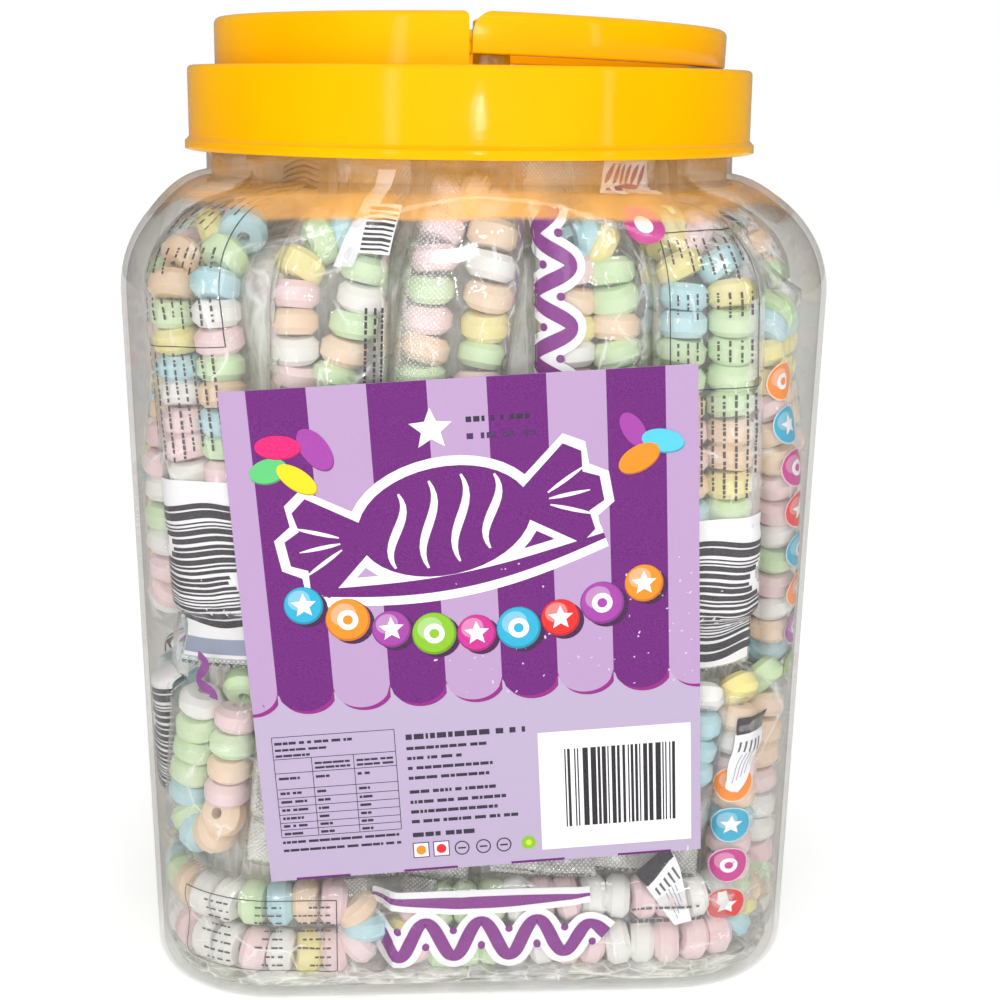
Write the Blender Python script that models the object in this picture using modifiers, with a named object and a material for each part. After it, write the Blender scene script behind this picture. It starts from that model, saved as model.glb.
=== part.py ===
"""A clear retail jar of wrapped candy necklaces with a screw lid and a lift-up carry handle.

Units are metres and +Z is up. The origin is the middle of the jar's flat base.
The printed label faces -Y and the carry handle folds down towards +X.
"""

import math
import random

import bmesh
import bpy
from mathutils import Matrix, Vector

# Jar body: a rounded rectangle that widens a little towards the shoulder.
BASE_HALF_WIDTH = 0.0773
BASE_HALF_DEPTH = 0.0645
SHOULDER_HALF_WIDTH = 0.0803
SHOULDER_HALF_DEPTH = 0.0680
CORNER_RADIUS = 0.0310
BASE_FILLET = 0.0054
SHOULDER_START = 0.1647
SHOULDER_RISE = 0.0245
JAR_WALL = 0.0012
FRONT_STEPS = 8
SIDE_STEPS = 5
CORNER_STEPS = 6
FILLET_STEPS = 3
SHOULDER_STEPS = 4

# Neck and the thread ridge that the lid screws down on.
NECK_RADIUS = 0.0640
NECK_TOP = 0.2093
THREAD_PROUD = 0.0010
THREAD_LOW = 0.2005
THREAD_HEIGHT = 0.0032

# Lid: a skirt with a flange, a recessed top and a raised half rim.
SKIRT_RADIUS = 0.0680
SKIRT_INNER_RADIUS = 0.0658
FLANGE_RADIUS = 0.0690
LID_BOTTOM = 0.1944
FLANGE_HEIGHT = 0.0022
LEDGE_HEIGHT = 0.2138
PLATE_UNDERSIDE = NECK_TOP + 0.0003
RECESS_HEIGHT = 0.2120
RIM_TOP = 0.2248
RIM_RADIUS = 0.06145
RIM_INNER_RADIUS = 0.0539
RIM_END_X = -0.0032
RIM_ROUND = 0.0016
EDGE_ROUND = 0.0011
ROUND_STEPS = 48
PIN_SIDES = 16

# Handle: the other half of the rim, hinged on two pins.
HANDLE_END_X = -0.0024
HANDLE_BOTTOM = 0.2160
PIVOT_X = 0.0020
PIVOT_Z = 0.2200
HANDLE_DROOP = math.radians(1.8)
PIN_RADIUS = 0.0015
PIN_CLEARANCE = 0.0004
PIN_TIP = 0.0008
PIN_ROOT = 0.0015
POST_THICKNESS = 0.0030
POST_WIDTH = 0.0080
POST_TOP = RIM_TOP - 0.0015
POST_GAP = 0.0009
POST_ROUND = 0.0006
SUNK = 0.0006
OVERSHOOT = 0.0020

# Label: a thin printed sheet stuck a little askew on the front.
LABEL_WIDTH = 0.1007
LABEL_HEIGHT = 0.1139
LABEL_CENTRE = (-0.0017, 0.0919)
LABEL_TURN = 0.0624
LABEL_THICKNESS = 0.0004
TOUCH_GAP = 0.0003

# One wrapped necklace: two strands of pressed beads in a flow-wrapped film.
PACK_LENGTH = 0.118
STRAND_LENGTH = 0.096
BEAD_PITCH = 0.0064
STRAND_RADIUS = 0.0054
STRAND_OFFSET = 0.0060
PACK_HALF_WIDTH = 0.0128
CRIMP_HALF_WIDTH = 0.0133
CRIMP_LENGTH = 0.0085
CRIMP_LIFT = 0.0018
GROOVE_FULLNESS = 0.80
PACK_DEPTH = 0.0075
PACK_ROOT = 0.0035

# How the packs stand and lie against the clear wall.
STANDING_PACKS = 19
LYING_PACKS = 5
UPPER_MIDDLE = 0.1370
LOWER_MIDDLE = 0.0880
LYING_HEIGHT = 0.0140
LOWEST_FILM = 0.0020
UPPER_FIRST = -0.0045
LOWER_FIRST = -0.0630
LYING_FIRST = -0.0780
TUCK_START = 0.072
TUCK_END = 0.080
TUCK_DEPTH = 0.0125
BEADED_REACH = 0.070
CORE_INSET = 0.0072
CORE_BOTTOM = 0.0050
CORE_CHAMFER = 0.0040
CORE_TOP = 0.1960
FUSE_MERGE = 0.00002
FUSE_FLATTEN = math.radians(2)

# Colours as linear RGB.
CLEAR_PLASTIC = (0.85, 0.88, 0.90)
LID_YELLOW = (1.0, 0.55, 0.01)
LABEL_LILAC = (0.62, 0.45, 0.76)
CANDY_PASTEL = (0.88, 0.66, 0.62)


def clear_scene():
    for obj in list(bpy.data.objects):
        bpy.data.objects.remove(obj, do_unlink=True)


def new_collection(name):
    collection = bpy.data.collections.new(name)
    bpy.context.scene.collection.children.link(collection)
    return collection


def new_material(name, colour, roughness, metallic=0.0):
    material = bpy.data.materials.new(name)
    material.use_nodes = True
    shader = material.node_tree.nodes["Principled BSDF"]
    shader.inputs["Base Color"].default_value = (*colour, 1.0)
    shader.inputs["Roughness"].default_value = roughness
    shader.inputs["Metallic"].default_value = metallic
    return material


def object_from_bmesh(name, bm, collection, material=None):
    bmesh.ops.recalc_face_normals(bm, faces=bm.faces)
    mesh = bpy.data.meshes.new(name)
    bm.to_mesh(mesh)
    bm.free()
    obj = bpy.data.objects.new(name, mesh)
    collection.objects.link(obj)
    if material:
        mesh.materials.append(material)
    return obj


def as_cutter(obj):
    obj.hide_render = True
    obj.display_type = "WIRE"
    return obj


def add_boolean(obj, operation, other):
    modifier = obj.modifiers.new(f"{operation.lower()} {other.name}", "BOOLEAN")
    modifier.operation = operation
    modifier.object = other
    modifier.solver = "EXACT"


def smooth_shade(obj, angle=math.radians(35)):
    obj.data.shade_smooth()
    obj.data.set_sharp_from_angle(angle=angle)


# Jar wall

def wall_flats(z=SHOULDER_START / 2):
    """Half lengths of the front and side flats, and the corner's arc length, at a height."""
    share = min(max(z / SHOULDER_START, 0.0), 1.0)
    half_width = BASE_HALF_WIDTH + (SHOULDER_HALF_WIDTH - BASE_HALF_WIDTH) * share
    half_depth = BASE_HALF_DEPTH + (SHOULDER_HALF_DEPTH - BASE_HALF_DEPTH) * share
    return half_width - CORNER_RADIUS, half_depth - CORNER_RADIUS, CORNER_RADIUS * math.pi / 2


def wall_length():
    """Distance round the jar at half the shoulder's height."""
    front, side, arc = wall_flats()
    return 4 * (front + side + arc)


def outline_place(s, z):
    """Point and outward normal in plan: s runs round from the middle of the front towards +X."""
    front, side, arc = wall_flats()
    flat_x, flat_y, _ = wall_flats(z)
    whole = wall_length()
    s = (s + whole / 2) % whole - whole / 2
    turn = math.copysign(1.0, s)
    s = abs(s)
    if s < front:
        centre = Vector((flat_x * s / front, -flat_y))
        angle = 0.0
    elif s < front + arc:
        centre = Vector((flat_x, -flat_y))
        angle = (s - front) / CORNER_RADIUS
    elif s < front + arc + 2 * side:
        centre = Vector((flat_x, flat_y * ((s - front - arc) / side - 1.0)))
        angle = math.pi / 2
    elif s < front + 2 * arc + 2 * side:
        centre = Vector((flat_x, flat_y))
        angle = (s - front - 2 * side) / CORNER_RADIUS
    else:
        centre = Vector((flat_x * (1.0 - (s - front - 2 * arc - 2 * side) / front), flat_y))
        angle = math.pi
    normal = Vector((math.sin(angle), -math.cos(angle)))
    point = centre + CORNER_RADIUS * normal
    return Vector((turn * point.x, point.y)), Vector((turn * normal.x, normal.y))


def wall_point(s, z, inset=0.0):
    """A place on the wall, moved inwards by the inset; the shoulder closes in to the round neck."""
    point, normal = outline_place(s, min(z, SHOULDER_START))
    climb = min(max((z - SHOULDER_START) / (SHOULDER_RISE - max(inset, 0.0)), 0.0), 1.0)
    closing = 1.0 - math.sqrt(1.0 - climb * climb)
    outward = point.normalized()
    point = point.lerp(outward * NECK_RADIUS, closing)
    normal = normal.lerp(outward, closing).normalized()
    point -= normal * inset
    return Vector((point.x, point.y, z))


def wall_stations(front_steps, corner_steps, side_steps):
    """Places round the jar: even steps on each flat and each corner arc."""
    front, side, arc = wall_flats()
    places = []
    start = -front
    runs = [(2 * front, front_steps), (arc, corner_steps), (2 * side, side_steps), (arc, corner_steps)]
    for length, steps in runs + runs:
        places += [start + length * step / steps for step in range(steps)]
        start += length
    return places


def skin_rings(bm, rings, close_start=True, close_end=True):
    """Join rings of equal length with quads and close the ends with one face each."""
    count = len(rings[0])
    for low, high in zip(rings, rings[1:]):
        for index in range(count):
            after = (index + 1) % count
            bm.faces.new((low[index], low[after], high[after], high[index]))
    if close_start:
        bm.faces.new(list(reversed(rings[0])))
    if close_end:
        bm.faces.new(rings[-1])


def jar_levels():
    """Height and inset of every outline from the base to the neck's top edge."""
    levels = []
    for step in range(FILLET_STEPS + 1):
        angle = math.radians(90) * step / FILLET_STEPS
        levels.append((BASE_FILLET * (1 - math.cos(angle)), BASE_FILLET * (1 - math.sin(angle))))
    levels.append((SHOULDER_START, 0.0))
    for step in range(1, SHOULDER_STEPS + 1):
        angle = math.radians(90) * step / SHOULDER_STEPS
        levels.append((SHOULDER_START + SHOULDER_RISE * math.sin(angle), 0.0))
    thread_top = THREAD_LOW + THREAD_HEIGHT
    slope = THREAD_PROUD
    levels.append((THREAD_LOW, 0.0))
    levels.append((THREAD_LOW + slope, -THREAD_PROUD))
    levels.append((thread_top - slope, -THREAD_PROUD))
    levels.append((thread_top, 0.0))
    levels.append((NECK_TOP, 0.0))
    return levels


def make_jar(parts):
    bm = bmesh.new()
    rings = []
    places = wall_stations(FRONT_STEPS, CORNER_STEPS, SIDE_STEPS)
    for z, inset in jar_levels():
        rings.append([bm.verts.new(wall_point(s, z, inset)) for s in places])
    skin_rings(bm, rings, close_end=False)
    material = new_material("clear_plastic", CLEAR_PLASTIC, 0.08)
    jar = object_from_bmesh("jar", bm, parts, material)
    shell = jar.modifiers.new("wall", "SOLIDIFY")
    shell.thickness = JAR_WALL
    shell.offset = -1.0
    shell.use_even_offset = True
    smooth_shade(jar)
    return jar


# Lid and handle

def turned_object(name, profile, collection, material=None, closed=False):
    """Turn a profile of (radius, height) points once round the Z axis."""
    mesh = bpy.data.meshes.new(name)
    points = [(radius, 0.0, height) for radius, height in profile]
    edges = [(index, index + 1) for index in range(len(points) - 1)]
    if closed:
        edges.append((len(points) - 1, 0))
    mesh.from_pydata(points, edges, [])
    if material:
        mesh.materials.append(material)
    obj = bpy.data.objects.new(name, mesh)
    collection.objects.link(obj)
    screw = obj.modifiers.new("turn", "SCREW")
    screw.axis = "Z"
    screw.steps = ROUND_STEPS
    screw.render_steps = ROUND_STEPS
    screw.use_merge_vertices = True
    screw.merge_threshold = 0.00001
    screw.use_smooth_shade = False
    return obj


def rim_profile(bottom):
    """Section of the raised ring, rounded along its two top edges."""
    return [
        (RIM_INNER_RADIUS, RIM_TOP - EDGE_ROUND),
        (RIM_INNER_RADIUS + EDGE_ROUND, RIM_TOP),
        (RIM_RADIUS - RIM_ROUND, RIM_TOP),
        (RIM_RADIUS - 0.3 * RIM_ROUND, RIM_TOP - 0.3 * RIM_ROUND),
        (RIM_RADIUS, RIM_TOP - RIM_ROUND),
        (RIM_RADIUS, bottom),
        (RIM_INNER_RADIUS, bottom),
    ]


def side_outline(name, points, collection):
    """A flat outline in XZ, given depth along Y, as a closed mesh."""
    curve = bpy.data.curves.new(name, "CURVE")
    curve.dimensions = "2D"
    curve.fill_mode = "BOTH"
    curve.extrude = FLANGE_RADIUS + OVERSHOOT
    spline = curve.splines.new("POLY")
    spline.points.add(len(points) - 1)
    for point, (x, z) in zip(spline.points, points):
        point.co = (x, z, 0.0, 1.0)
    spline.use_cyclic_u = True
    guide = bpy.data.objects.new(name + "_curve", curve)
    collection.objects.link(guide)
    guide.rotation_euler = (math.radians(90), 0.0, 0.0)
    bpy.context.view_layer.update()
    evaluated = guide.evaluated_get(bpy.context.evaluated_depsgraph_get())
    mesh = bpy.data.meshes.new_from_object(evaluated)
    bm = bmesh.new()
    bm.from_mesh(mesh)
    bmesh.ops.remove_doubles(bm, verts=bm.verts, dist=0.00001)
    bmesh.ops.recalc_face_normals(bm, faces=bm.faces)
    bm.to_mesh(mesh)
    bm.free()
    obj = bpy.data.objects.new(name, mesh)
    obj.matrix_world = guide.matrix_world
    collection.objects.link(obj)
    bpy.data.objects.remove(guide, do_unlink=True)
    return as_cutter(obj)


def arc_points(centre, radii, start, end, steps):
    """Points on an ellipse arc in XZ, from one angle to another in degrees."""
    points = []
    for step in range(steps + 1):
        angle = math.radians(start + (end - start) * step / steps)
        points.append((centre[0] + radii[0] * math.cos(angle), centre[1] + radii[1] * math.sin(angle)))
    return points


def post_box(name, collection, side):
    """A lug on the lid's top that carries one pin; side is -1 at the front, +1 at the back."""
    bottom = RECESS_HEIGHT - SUNK
    height = POST_TOP - bottom
    middle = RIM_INNER_RADIUS - POST_GAP - POST_THICKNESS / 2
    bpy.ops.mesh.primitive_cube_add(size=1.0)
    post = bpy.context.object
    post.name = name
    post.scale = (POST_WIDTH, POST_THICKNESS, height)
    post.location = (PIVOT_X, side * middle, bottom + height / 2)
    bpy.ops.object.transform_apply(location=False, rotation=False, scale=True)
    rounding = post.modifiers.new("rounded edges", "BEVEL")
    rounding.width = POST_ROUND
    rounding.segments = 1
    move_to(post, collection)
    return as_cutter(post)


def pin_cylinder(name, collection, side, radius, inner, outer):
    """A short cylinder along Y through one post."""
    bpy.ops.mesh.primitive_cylinder_add(vertices=PIN_SIDES, radius=radius, depth=outer - inner)
    pin = bpy.context.object
    pin.name = name
    pin.rotation_euler = (math.radians(90), 0.0, 0.0)
    pin.location = (PIVOT_X, side * (inner + outer) / 2, PIVOT_Z)
    move_to(pin, collection)
    return as_cutter(pin)


def move_to(obj, collection):
    for owner in list(obj.users_collection):
        owner.objects.unlink(obj)
    collection.objects.link(obj)


def make_lid(parts, cutters):
    profile = [
        (0.0, RECESS_HEIGHT),
        (RIM_INNER_RADIUS - 2 * SUNK, RECESS_HEIGHT),
        (RIM_INNER_RADIUS - SUNK, LEDGE_HEIGHT),
        (SKIRT_RADIUS - EDGE_ROUND, LEDGE_HEIGHT),
        (SKIRT_RADIUS - 0.3 * EDGE_ROUND, LEDGE_HEIGHT - 0.3 * EDGE_ROUND),
        (SKIRT_RADIUS, LEDGE_HEIGHT - EDGE_ROUND),
        (SKIRT_RADIUS, LID_BOTTOM + FLANGE_HEIGHT),
        (FLANGE_RADIUS, LID_BOTTOM + 0.6 * FLANGE_HEIGHT),
        (FLANGE_RADIUS, LID_BOTTOM),
        (SKIRT_INNER_RADIUS, LID_BOTTOM),
        (SKIRT_INNER_RADIUS, PLATE_UNDERSIDE),
        (0.0, PLATE_UNDERSIDE),
    ]
    material = new_material("lid_plastic", LID_YELLOW, 0.22)
    lid = turned_object("lid", profile, parts, material)
    rim = as_cutter(turned_object("fixed_rim", rim_profile(LEDGE_HEIGHT - SUNK), cutters, closed=True))
    far = -(FLANGE_RADIUS + OVERSHOOT)
    low = LEDGE_HEIGHT - OVERSHOOT
    corner = EDGE_ROUND
    outline = [(far, low), (RIM_END_X, low)]
    outline += arc_points((RIM_END_X - corner, RIM_TOP - corner), (corner, corner), 0, 90, 3)
    outline += [(far, RIM_TOP)]
    add_boolean(rim, "INTERSECT", side_outline("rim_side", outline, cutters))
    add_boolean(lid, "UNION", rim)
    hole_outer = RIM_INNER_RADIUS - SUNK / 2
    hole_inner = RIM_INNER_RADIUS - POST_GAP - POST_THICKNESS - OVERSHOOT
    for side, place in ((-1, "front"), (1, "back")):
        add_boolean(lid, "UNION", post_box(f"post_{place}", cutters, side))
    for side, place in ((-1, "front"), (1, "back")):
        radius = PIN_RADIUS + PIN_CLEARANCE
        hole = pin_cylinder(f"pin_hole_{place}", cutters, side, radius, hole_inner, hole_outer)
        add_boolean(lid, "DIFFERENCE", hole)
    return lid


def hang_on(hinge, pieces):
    """Carry pieces on the hinge, which turns them about the pins."""
    for piece in pieces:
        piece.parent = hinge
        piece.matrix_parent_inverse = Matrix.Translation((-PIVOT_X, 0.0, -PIVOT_Z))


def make_handle(parts, cutters):
    material = new_material("handle_plastic", LID_YELLOW, 0.22)
    handle = turned_object("handle", rim_profile(HANDLE_BOTTOM), parts, material, closed=True)
    far = FLANGE_RADIUS + OVERSHOOT
    low = HANDLE_BOTTOM - OVERSHOOT
    outline = [(far, RIM_TOP)]
    reach = (PIVOT_X - HANDLE_END_X, RIM_TOP - PIVOT_Z)
    outline += arc_points((PIVOT_X, PIVOT_Z), reach, 90, 180, 6)
    outline += [(HANDLE_END_X, low), (far, low)]
    side = side_outline("handle_side", outline, cutters)
    add_boolean(handle, "INTERSECT", side)
    pin_inner = RIM_INNER_RADIUS - POST_GAP - POST_THICKNESS - PIN_TIP
    pin_outer = RIM_INNER_RADIUS + PIN_ROOT
    pins = []
    for turn, place in ((-1, "front"), (1, "back")):
        pin = pin_cylinder(f"pin_{place}", cutters, turn, PIN_RADIUS, pin_inner, pin_outer)
        add_boolean(handle, "UNION", pin)
        pins.append(pin)
    hinge = bpy.data.objects.new("handle_hinge", None)
    hinge.location = (PIVOT_X, 0.0, PIVOT_Z)
    hinge.rotation_euler = (0.0, HANDLE_DROOP, 0.0)
    parts.objects.link(hinge)
    hang_on(hinge, [handle, side] + pins)
    return handle


# Label

def make_label(parts):
    columns = 10
    rows = 3
    cosine = math.cos(LABEL_TURN)
    sine = math.sin(LABEL_TURN)
    bm = bmesh.new()
    grid = []
    for row in range(rows + 1):
        line = []
        for column in range(columns + 1):
            along = LABEL_WIDTH * (column / columns - 0.5)
            up = LABEL_HEIGHT * (row / rows - 0.5)
            s = LABEL_CENTRE[0] + along * cosine - up * sine
            z = LABEL_CENTRE[1] + along * sine + up * cosine
            line.append(bm.verts.new(wall_point(s, z, -TOUCH_GAP)))
        grid.append(line)
    for low, high in zip(grid, grid[1:]):
        for column in range(columns):
            bm.faces.new((low[column], low[column + 1], high[column + 1], high[column]))
    mesh = bpy.data.meshes.new("label")
    bm.to_mesh(mesh)
    bm.free()
    mesh.materials.append(new_material("printed_paper", LABEL_LILAC, 0.3))
    label = bpy.data.objects.new("label", mesh)
    parts.objects.link(label)
    sheet = label.modifiers.new("paper thickness", "SOLIDIFY")
    sheet.thickness = LABEL_THICKNESS
    sheet.offset = 1.0
    return label


# Wrapped necklaces

def pack_section(fullness):
    """Section of a pack as (across, outward) points, with a lobe over each strand."""
    if fullness == 0.0:
        width = CRIMP_HALF_WIDTH
        lobe = 0.5 * CRIMP_HALF_WIDTH
        outer = [(-width, 0.0)] + [(across, CRIMP_LIFT) for across in (-width, -lobe, 0.0, lobe, width)]
        outer.append((width, 0.0))
    else:
        top = STRAND_RADIUS * fullness
        lobe = STRAND_OFFSET
        outer = [
            (-PACK_HALF_WIDTH, 0.0),
            (-lobe - 0.6 * STRAND_RADIUS, 0.82 * top),
            (-lobe + 0.2 * STRAND_RADIUS, top),
            (0.0, 0.45 * top),
            (lobe - 0.2 * STRAND_RADIUS, top),
            (lobe + 0.6 * STRAND_RADIUS, 0.82 * top),
            (PACK_HALF_WIDTH, 0.0),
        ]
    inner = [(STRAND_OFFSET, -PACK_ROOT), (-STRAND_OFFSET, -PACK_ROOT)]
    return outer + inner


def pack_stations(beaded):
    """Where the sections stand along a pack, with how full the film is at each; 0 is a crimp."""
    end = PACK_LENGTH / 2
    seal = end - CRIMP_LENGTH
    strand = STRAND_LENGTH / 2
    stations = [(-end, 0.0), (-seal, 0.0)]
    if beaded:
        beads = round(STRAND_LENGTH / BEAD_PITCH)
        for bead in range(beads):
            middle = -strand + (bead + 0.5) * BEAD_PITCH
            stations.append((middle - 0.46 * BEAD_PITCH, GROOVE_FULLNESS))
            stations.append((middle, 1.0))
        stations.append((strand, GROOVE_FULLNESS))
    else:
        steps = 5
        for step in range(steps + 1):
            stations.append((-strand + STRAND_LENGTH * step / steps, 0.97))
    stations += [(seal, 0.0), (end, 0.0)]
    return stations


def tuck(z):
    """Extra inset of a lower pack where it goes behind the pack above it."""
    share = min(max((z - TUCK_START) / (TUCK_END - TUCK_START), 0.0), 1.0)
    return TUCK_DEPTH * share * share * (3 - 2 * share)


def add_pack(collection, name, place, height, lean, tucked=False, beaded=False):
    """One wrapped necklace that follows the wall; lean 0 stands and 90 degrees lies."""
    bm = bmesh.new()
    rings = []
    for along, fullness in pack_stations(beaded):
        ring = []
        for across, outward in pack_section(fullness):
            s = place + along * math.sin(lean) + across * math.cos(lean)
            z = max(height + along * math.cos(lean) - across * math.sin(lean), LOWEST_FILM)
            inset = PACK_DEPTH - outward + (tuck(z) if tucked else 0.0)
            ring.append(bm.verts.new(wall_point(s, z, inset)))
        rings.append(ring)
    skin_rings(bm, rings)
    return as_cutter(object_from_bmesh(name, bm, collection))


def add_packs(collection):
    """Two standing tiers and one lying ring, in the order of their places round the jar."""
    draw = random.Random(20)
    whole = wall_length()
    for index in range(STANDING_PACKS):
        step = whole / STANDING_PACKS
        upper = UPPER_FIRST + index * step + draw.uniform(-0.001, 0.001)
        lower = LOWER_FIRST + index * step + draw.uniform(-0.002, 0.002)
        centred = (upper + whole / 2) % whole - whole / 2
        lean = math.radians(draw.uniform(1, 4))
        rise = draw.uniform(-0.002, 0.003)
        beaded = abs(centred) < BEADED_REACH
        add_pack(collection, f"upper_{index}", upper, UPPER_MIDDLE + rise, lean, beaded=beaded)
        lean = math.radians(draw.uniform(3, 7))
        rise = draw.uniform(-0.001, 0.003)
        add_pack(collection, f"lower_{index}", lower, LOWER_MIDDLE + rise, lean, tucked=True)
    for index in range(LYING_PACKS):
        place = LYING_FIRST + index * whole / LYING_PACKS
        lean = math.radians(90 + draw.uniform(-1.5, 1.5))
        add_pack(collection, f"lying_{index}", place, LYING_HEIGHT, lean)


def make_core(name, parts, material):
    """The plain middle of the heap, behind the packs that show."""
    bm = bmesh.new()
    levels = [(CORE_BOTTOM, CORE_INSET + CORE_CHAMFER), (CORE_BOTTOM + CORE_CHAMFER, CORE_INSET)]
    levels += [(SHOULDER_START + share * SHOULDER_RISE, CORE_INSET) for share in (0.0, 0.35, 0.62, 0.76)]
    levels += [(CORE_TOP, CORE_INSET)]
    rings = []
    places = wall_stations(2, 3, 2)
    for z, inset in levels:
        rings.append([bm.verts.new(wall_point(s, z, inset)) for s in places])
    skin_rings(bm, rings)
    return object_from_bmesh(name, bm, parts, material)


def largest_skin_only(bm):
    """Drop scraps and sealed hollows: only the connected surface with most points stays."""
    unseen = set(bm.verts)
    groups = []
    while unseen:
        stack = [unseen.pop()]
        group = list(stack)
        while stack:
            vert = stack.pop()
            for edge in vert.link_edges:
                other = edge.other_vert(vert)
                if other in unseen:
                    unseen.remove(other)
                    group.append(other)
                    stack.append(other)
        groups.append(group)
    groups.sort(key=len)
    for group in groups[:-1]:
        bmesh.ops.delete(bm, geom=group, context="VERTS")


def shared_diagonals(bm):
    """Pairs of points that two faces would both join with a diagonal when split."""
    trial = bm.copy()
    bmesh.ops.triangulate(trial, faces=trial.faces, ngon_method="BEAUTY")
    pairs = [[vert.index for vert in edge.verts] for edge in trial.edges if len(edge.link_faces) != 2]
    trial.free()
    return pairs


def split_into_triangles(bm):
    """Split every face, giving a centre point to the small faces that would share a diagonal."""
    for _ in range(4):
        bm.verts.index_update()
        bm.verts.ensure_lookup_table()
        chosen = set()
        for first, second in shared_diagonals(bm):
            both = [face for face in bm.verts[first].link_faces if bm.verts[second] in face.verts]
            many_sided = [face for face in both if len(face.verts) > 3]
            if many_sided:
                chosen.add(min(many_sided, key=lambda face: face.calc_area()))
        if not chosen:
            break
        bmesh.ops.poke(bm, faces=list(chosen))
    bmesh.ops.triangulate(bm, faces=bm.faces, ngon_method="BEAUTY")


def tidy_fused(mesh):
    """Merge slivers, flatten near-level faces and leave one closed skin of triangles."""
    bm = bmesh.new()
    bm.from_mesh(mesh)
    bmesh.ops.remove_doubles(bm, verts=bm.verts, dist=FUSE_MERGE)
    bmesh.ops.dissolve_degenerate(bm, edges=bm.edges, dist=FUSE_MERGE)
    bmesh.ops.dissolve_limit(bm, angle_limit=FUSE_FLATTEN, verts=bm.verts, edges=bm.edges)
    largest_skin_only(bm)
    split_into_triangles(bm)
    bm.to_mesh(mesh)
    bm.free()


def make_necklaces(parts, cutters):
    """The packs that show, fused onto the core by one union."""
    packs = bpy.data.collections.new("wrapped_necklaces")
    cutters.children.link(packs)
    add_packs(packs)
    material = new_material("pressed_candy", CANDY_PASTEL, 0.6)
    heap = make_core("necklaces", parts, material)
    union = heap.modifiers.new("fuse packs", "BOOLEAN")
    union.operation = "UNION"
    union.operand_type = "COLLECTION"
    union.collection = packs
    union.solver = "MANIFOLD"
    bpy.context.view_layer.update()
    evaluated = heap.evaluated_get(bpy.context.evaluated_depsgraph_get())
    fused = bpy.data.meshes.new_from_object(evaluated)
    heap.modifiers.remove(union)
    tidy_fused(fused)
    heap.data = fused
    for pack in list(packs.objects):
        bpy.data.objects.remove(pack, do_unlink=True)
    bpy.data.collections.remove(packs)
    return heap


def main():
    clear_scene()
    parts = new_collection("candy_necklace_jar")
    cutters = new_collection("cutters")
    make_jar(parts)
    make_lid(parts, cutters)
    make_handle(parts, cutters)
    make_label(parts)
    make_necklaces(parts, cutters)


main()
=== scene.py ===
"""Finishes for a clear jar of wrapped candy necklaces with a golden screw lid.

The file is laid out as an add-on: each operator makes one piece or one group of like pieces,
and main() calls them in order. Units are metres. The label faces -Y and +Z is up.
"""

import math
import random

import bmesh
import bpy
import numpy as np
from bpy.props import FloatProperty, FloatVectorProperty, IntProperty, PointerProperty
from mathutils import Matrix, Vector


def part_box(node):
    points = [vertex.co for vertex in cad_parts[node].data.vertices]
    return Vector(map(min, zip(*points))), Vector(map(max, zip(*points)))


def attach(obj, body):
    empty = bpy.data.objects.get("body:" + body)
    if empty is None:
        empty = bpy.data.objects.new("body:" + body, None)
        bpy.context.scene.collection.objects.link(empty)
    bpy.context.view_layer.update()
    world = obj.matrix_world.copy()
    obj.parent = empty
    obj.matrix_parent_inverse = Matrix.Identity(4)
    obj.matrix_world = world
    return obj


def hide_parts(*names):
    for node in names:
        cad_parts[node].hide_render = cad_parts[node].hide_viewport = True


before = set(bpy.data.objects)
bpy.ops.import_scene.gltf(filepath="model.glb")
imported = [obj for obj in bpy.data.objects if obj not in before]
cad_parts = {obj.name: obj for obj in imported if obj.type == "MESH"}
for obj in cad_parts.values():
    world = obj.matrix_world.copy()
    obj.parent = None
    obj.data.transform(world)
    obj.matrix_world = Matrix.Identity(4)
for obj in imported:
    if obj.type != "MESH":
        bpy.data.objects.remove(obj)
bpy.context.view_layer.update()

bl_info = {
    "name": "Candy Necklace Jar",
    "version": (1, 0, 0),
    "blender": (4, 5, 0),
    "location": "View3D > Sidebar > Candy Jar",
    "description": "Makes a clear jar of wrapped candy necklaces, its lid, handle and label",
    "category": "Add Mesh",
}

MM = 0.001
JAR_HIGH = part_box("jar")[1]
LID_LOW, LID_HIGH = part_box("lid")

# Plan of the jar's wall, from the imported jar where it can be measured.
SHOULDER_HALF_WIDTH = JAR_HIGH.x
SHOULDER_HALF_DEPTH = JAR_HIGH.y
BASE_HALF_WIDTH = SHOULDER_HALF_WIDTH - 3.0 * MM
BASE_HALF_DEPTH = SHOULDER_HALF_DEPTH - 3.5 * MM
CORNER_RADIUS = 31.0 * MM
BASE_FILLET = 5.4 * MM
SHOULDER_START = 164.7 * MM
SHOULDER_RISE = 24.5 * MM
NECK_RADIUS = 64.0 * MM
NECK_TOP = JAR_HIGH.z
JAR_WALL = 1.2 * MM
# Heights where the painted glow of the lid's light on the neck starts, thins and comes back, and how far out
# it goes.
GLOW_FOOT = 177.2 * MM
GLOW_THIN = 182.8 * MM
GLOW_FULL = 188.6 * MM
GLOW_REACH = 77.5 * MM
THREAD_LOW = 200.5 * MM
THREAD_HEIGHT = 3.2 * MM
THREAD_PROUD = 1.0 * MM
PUSH_UP_INSET = 17.0 * MM
PUSH_UP_RISE = 1.5 * MM

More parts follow.
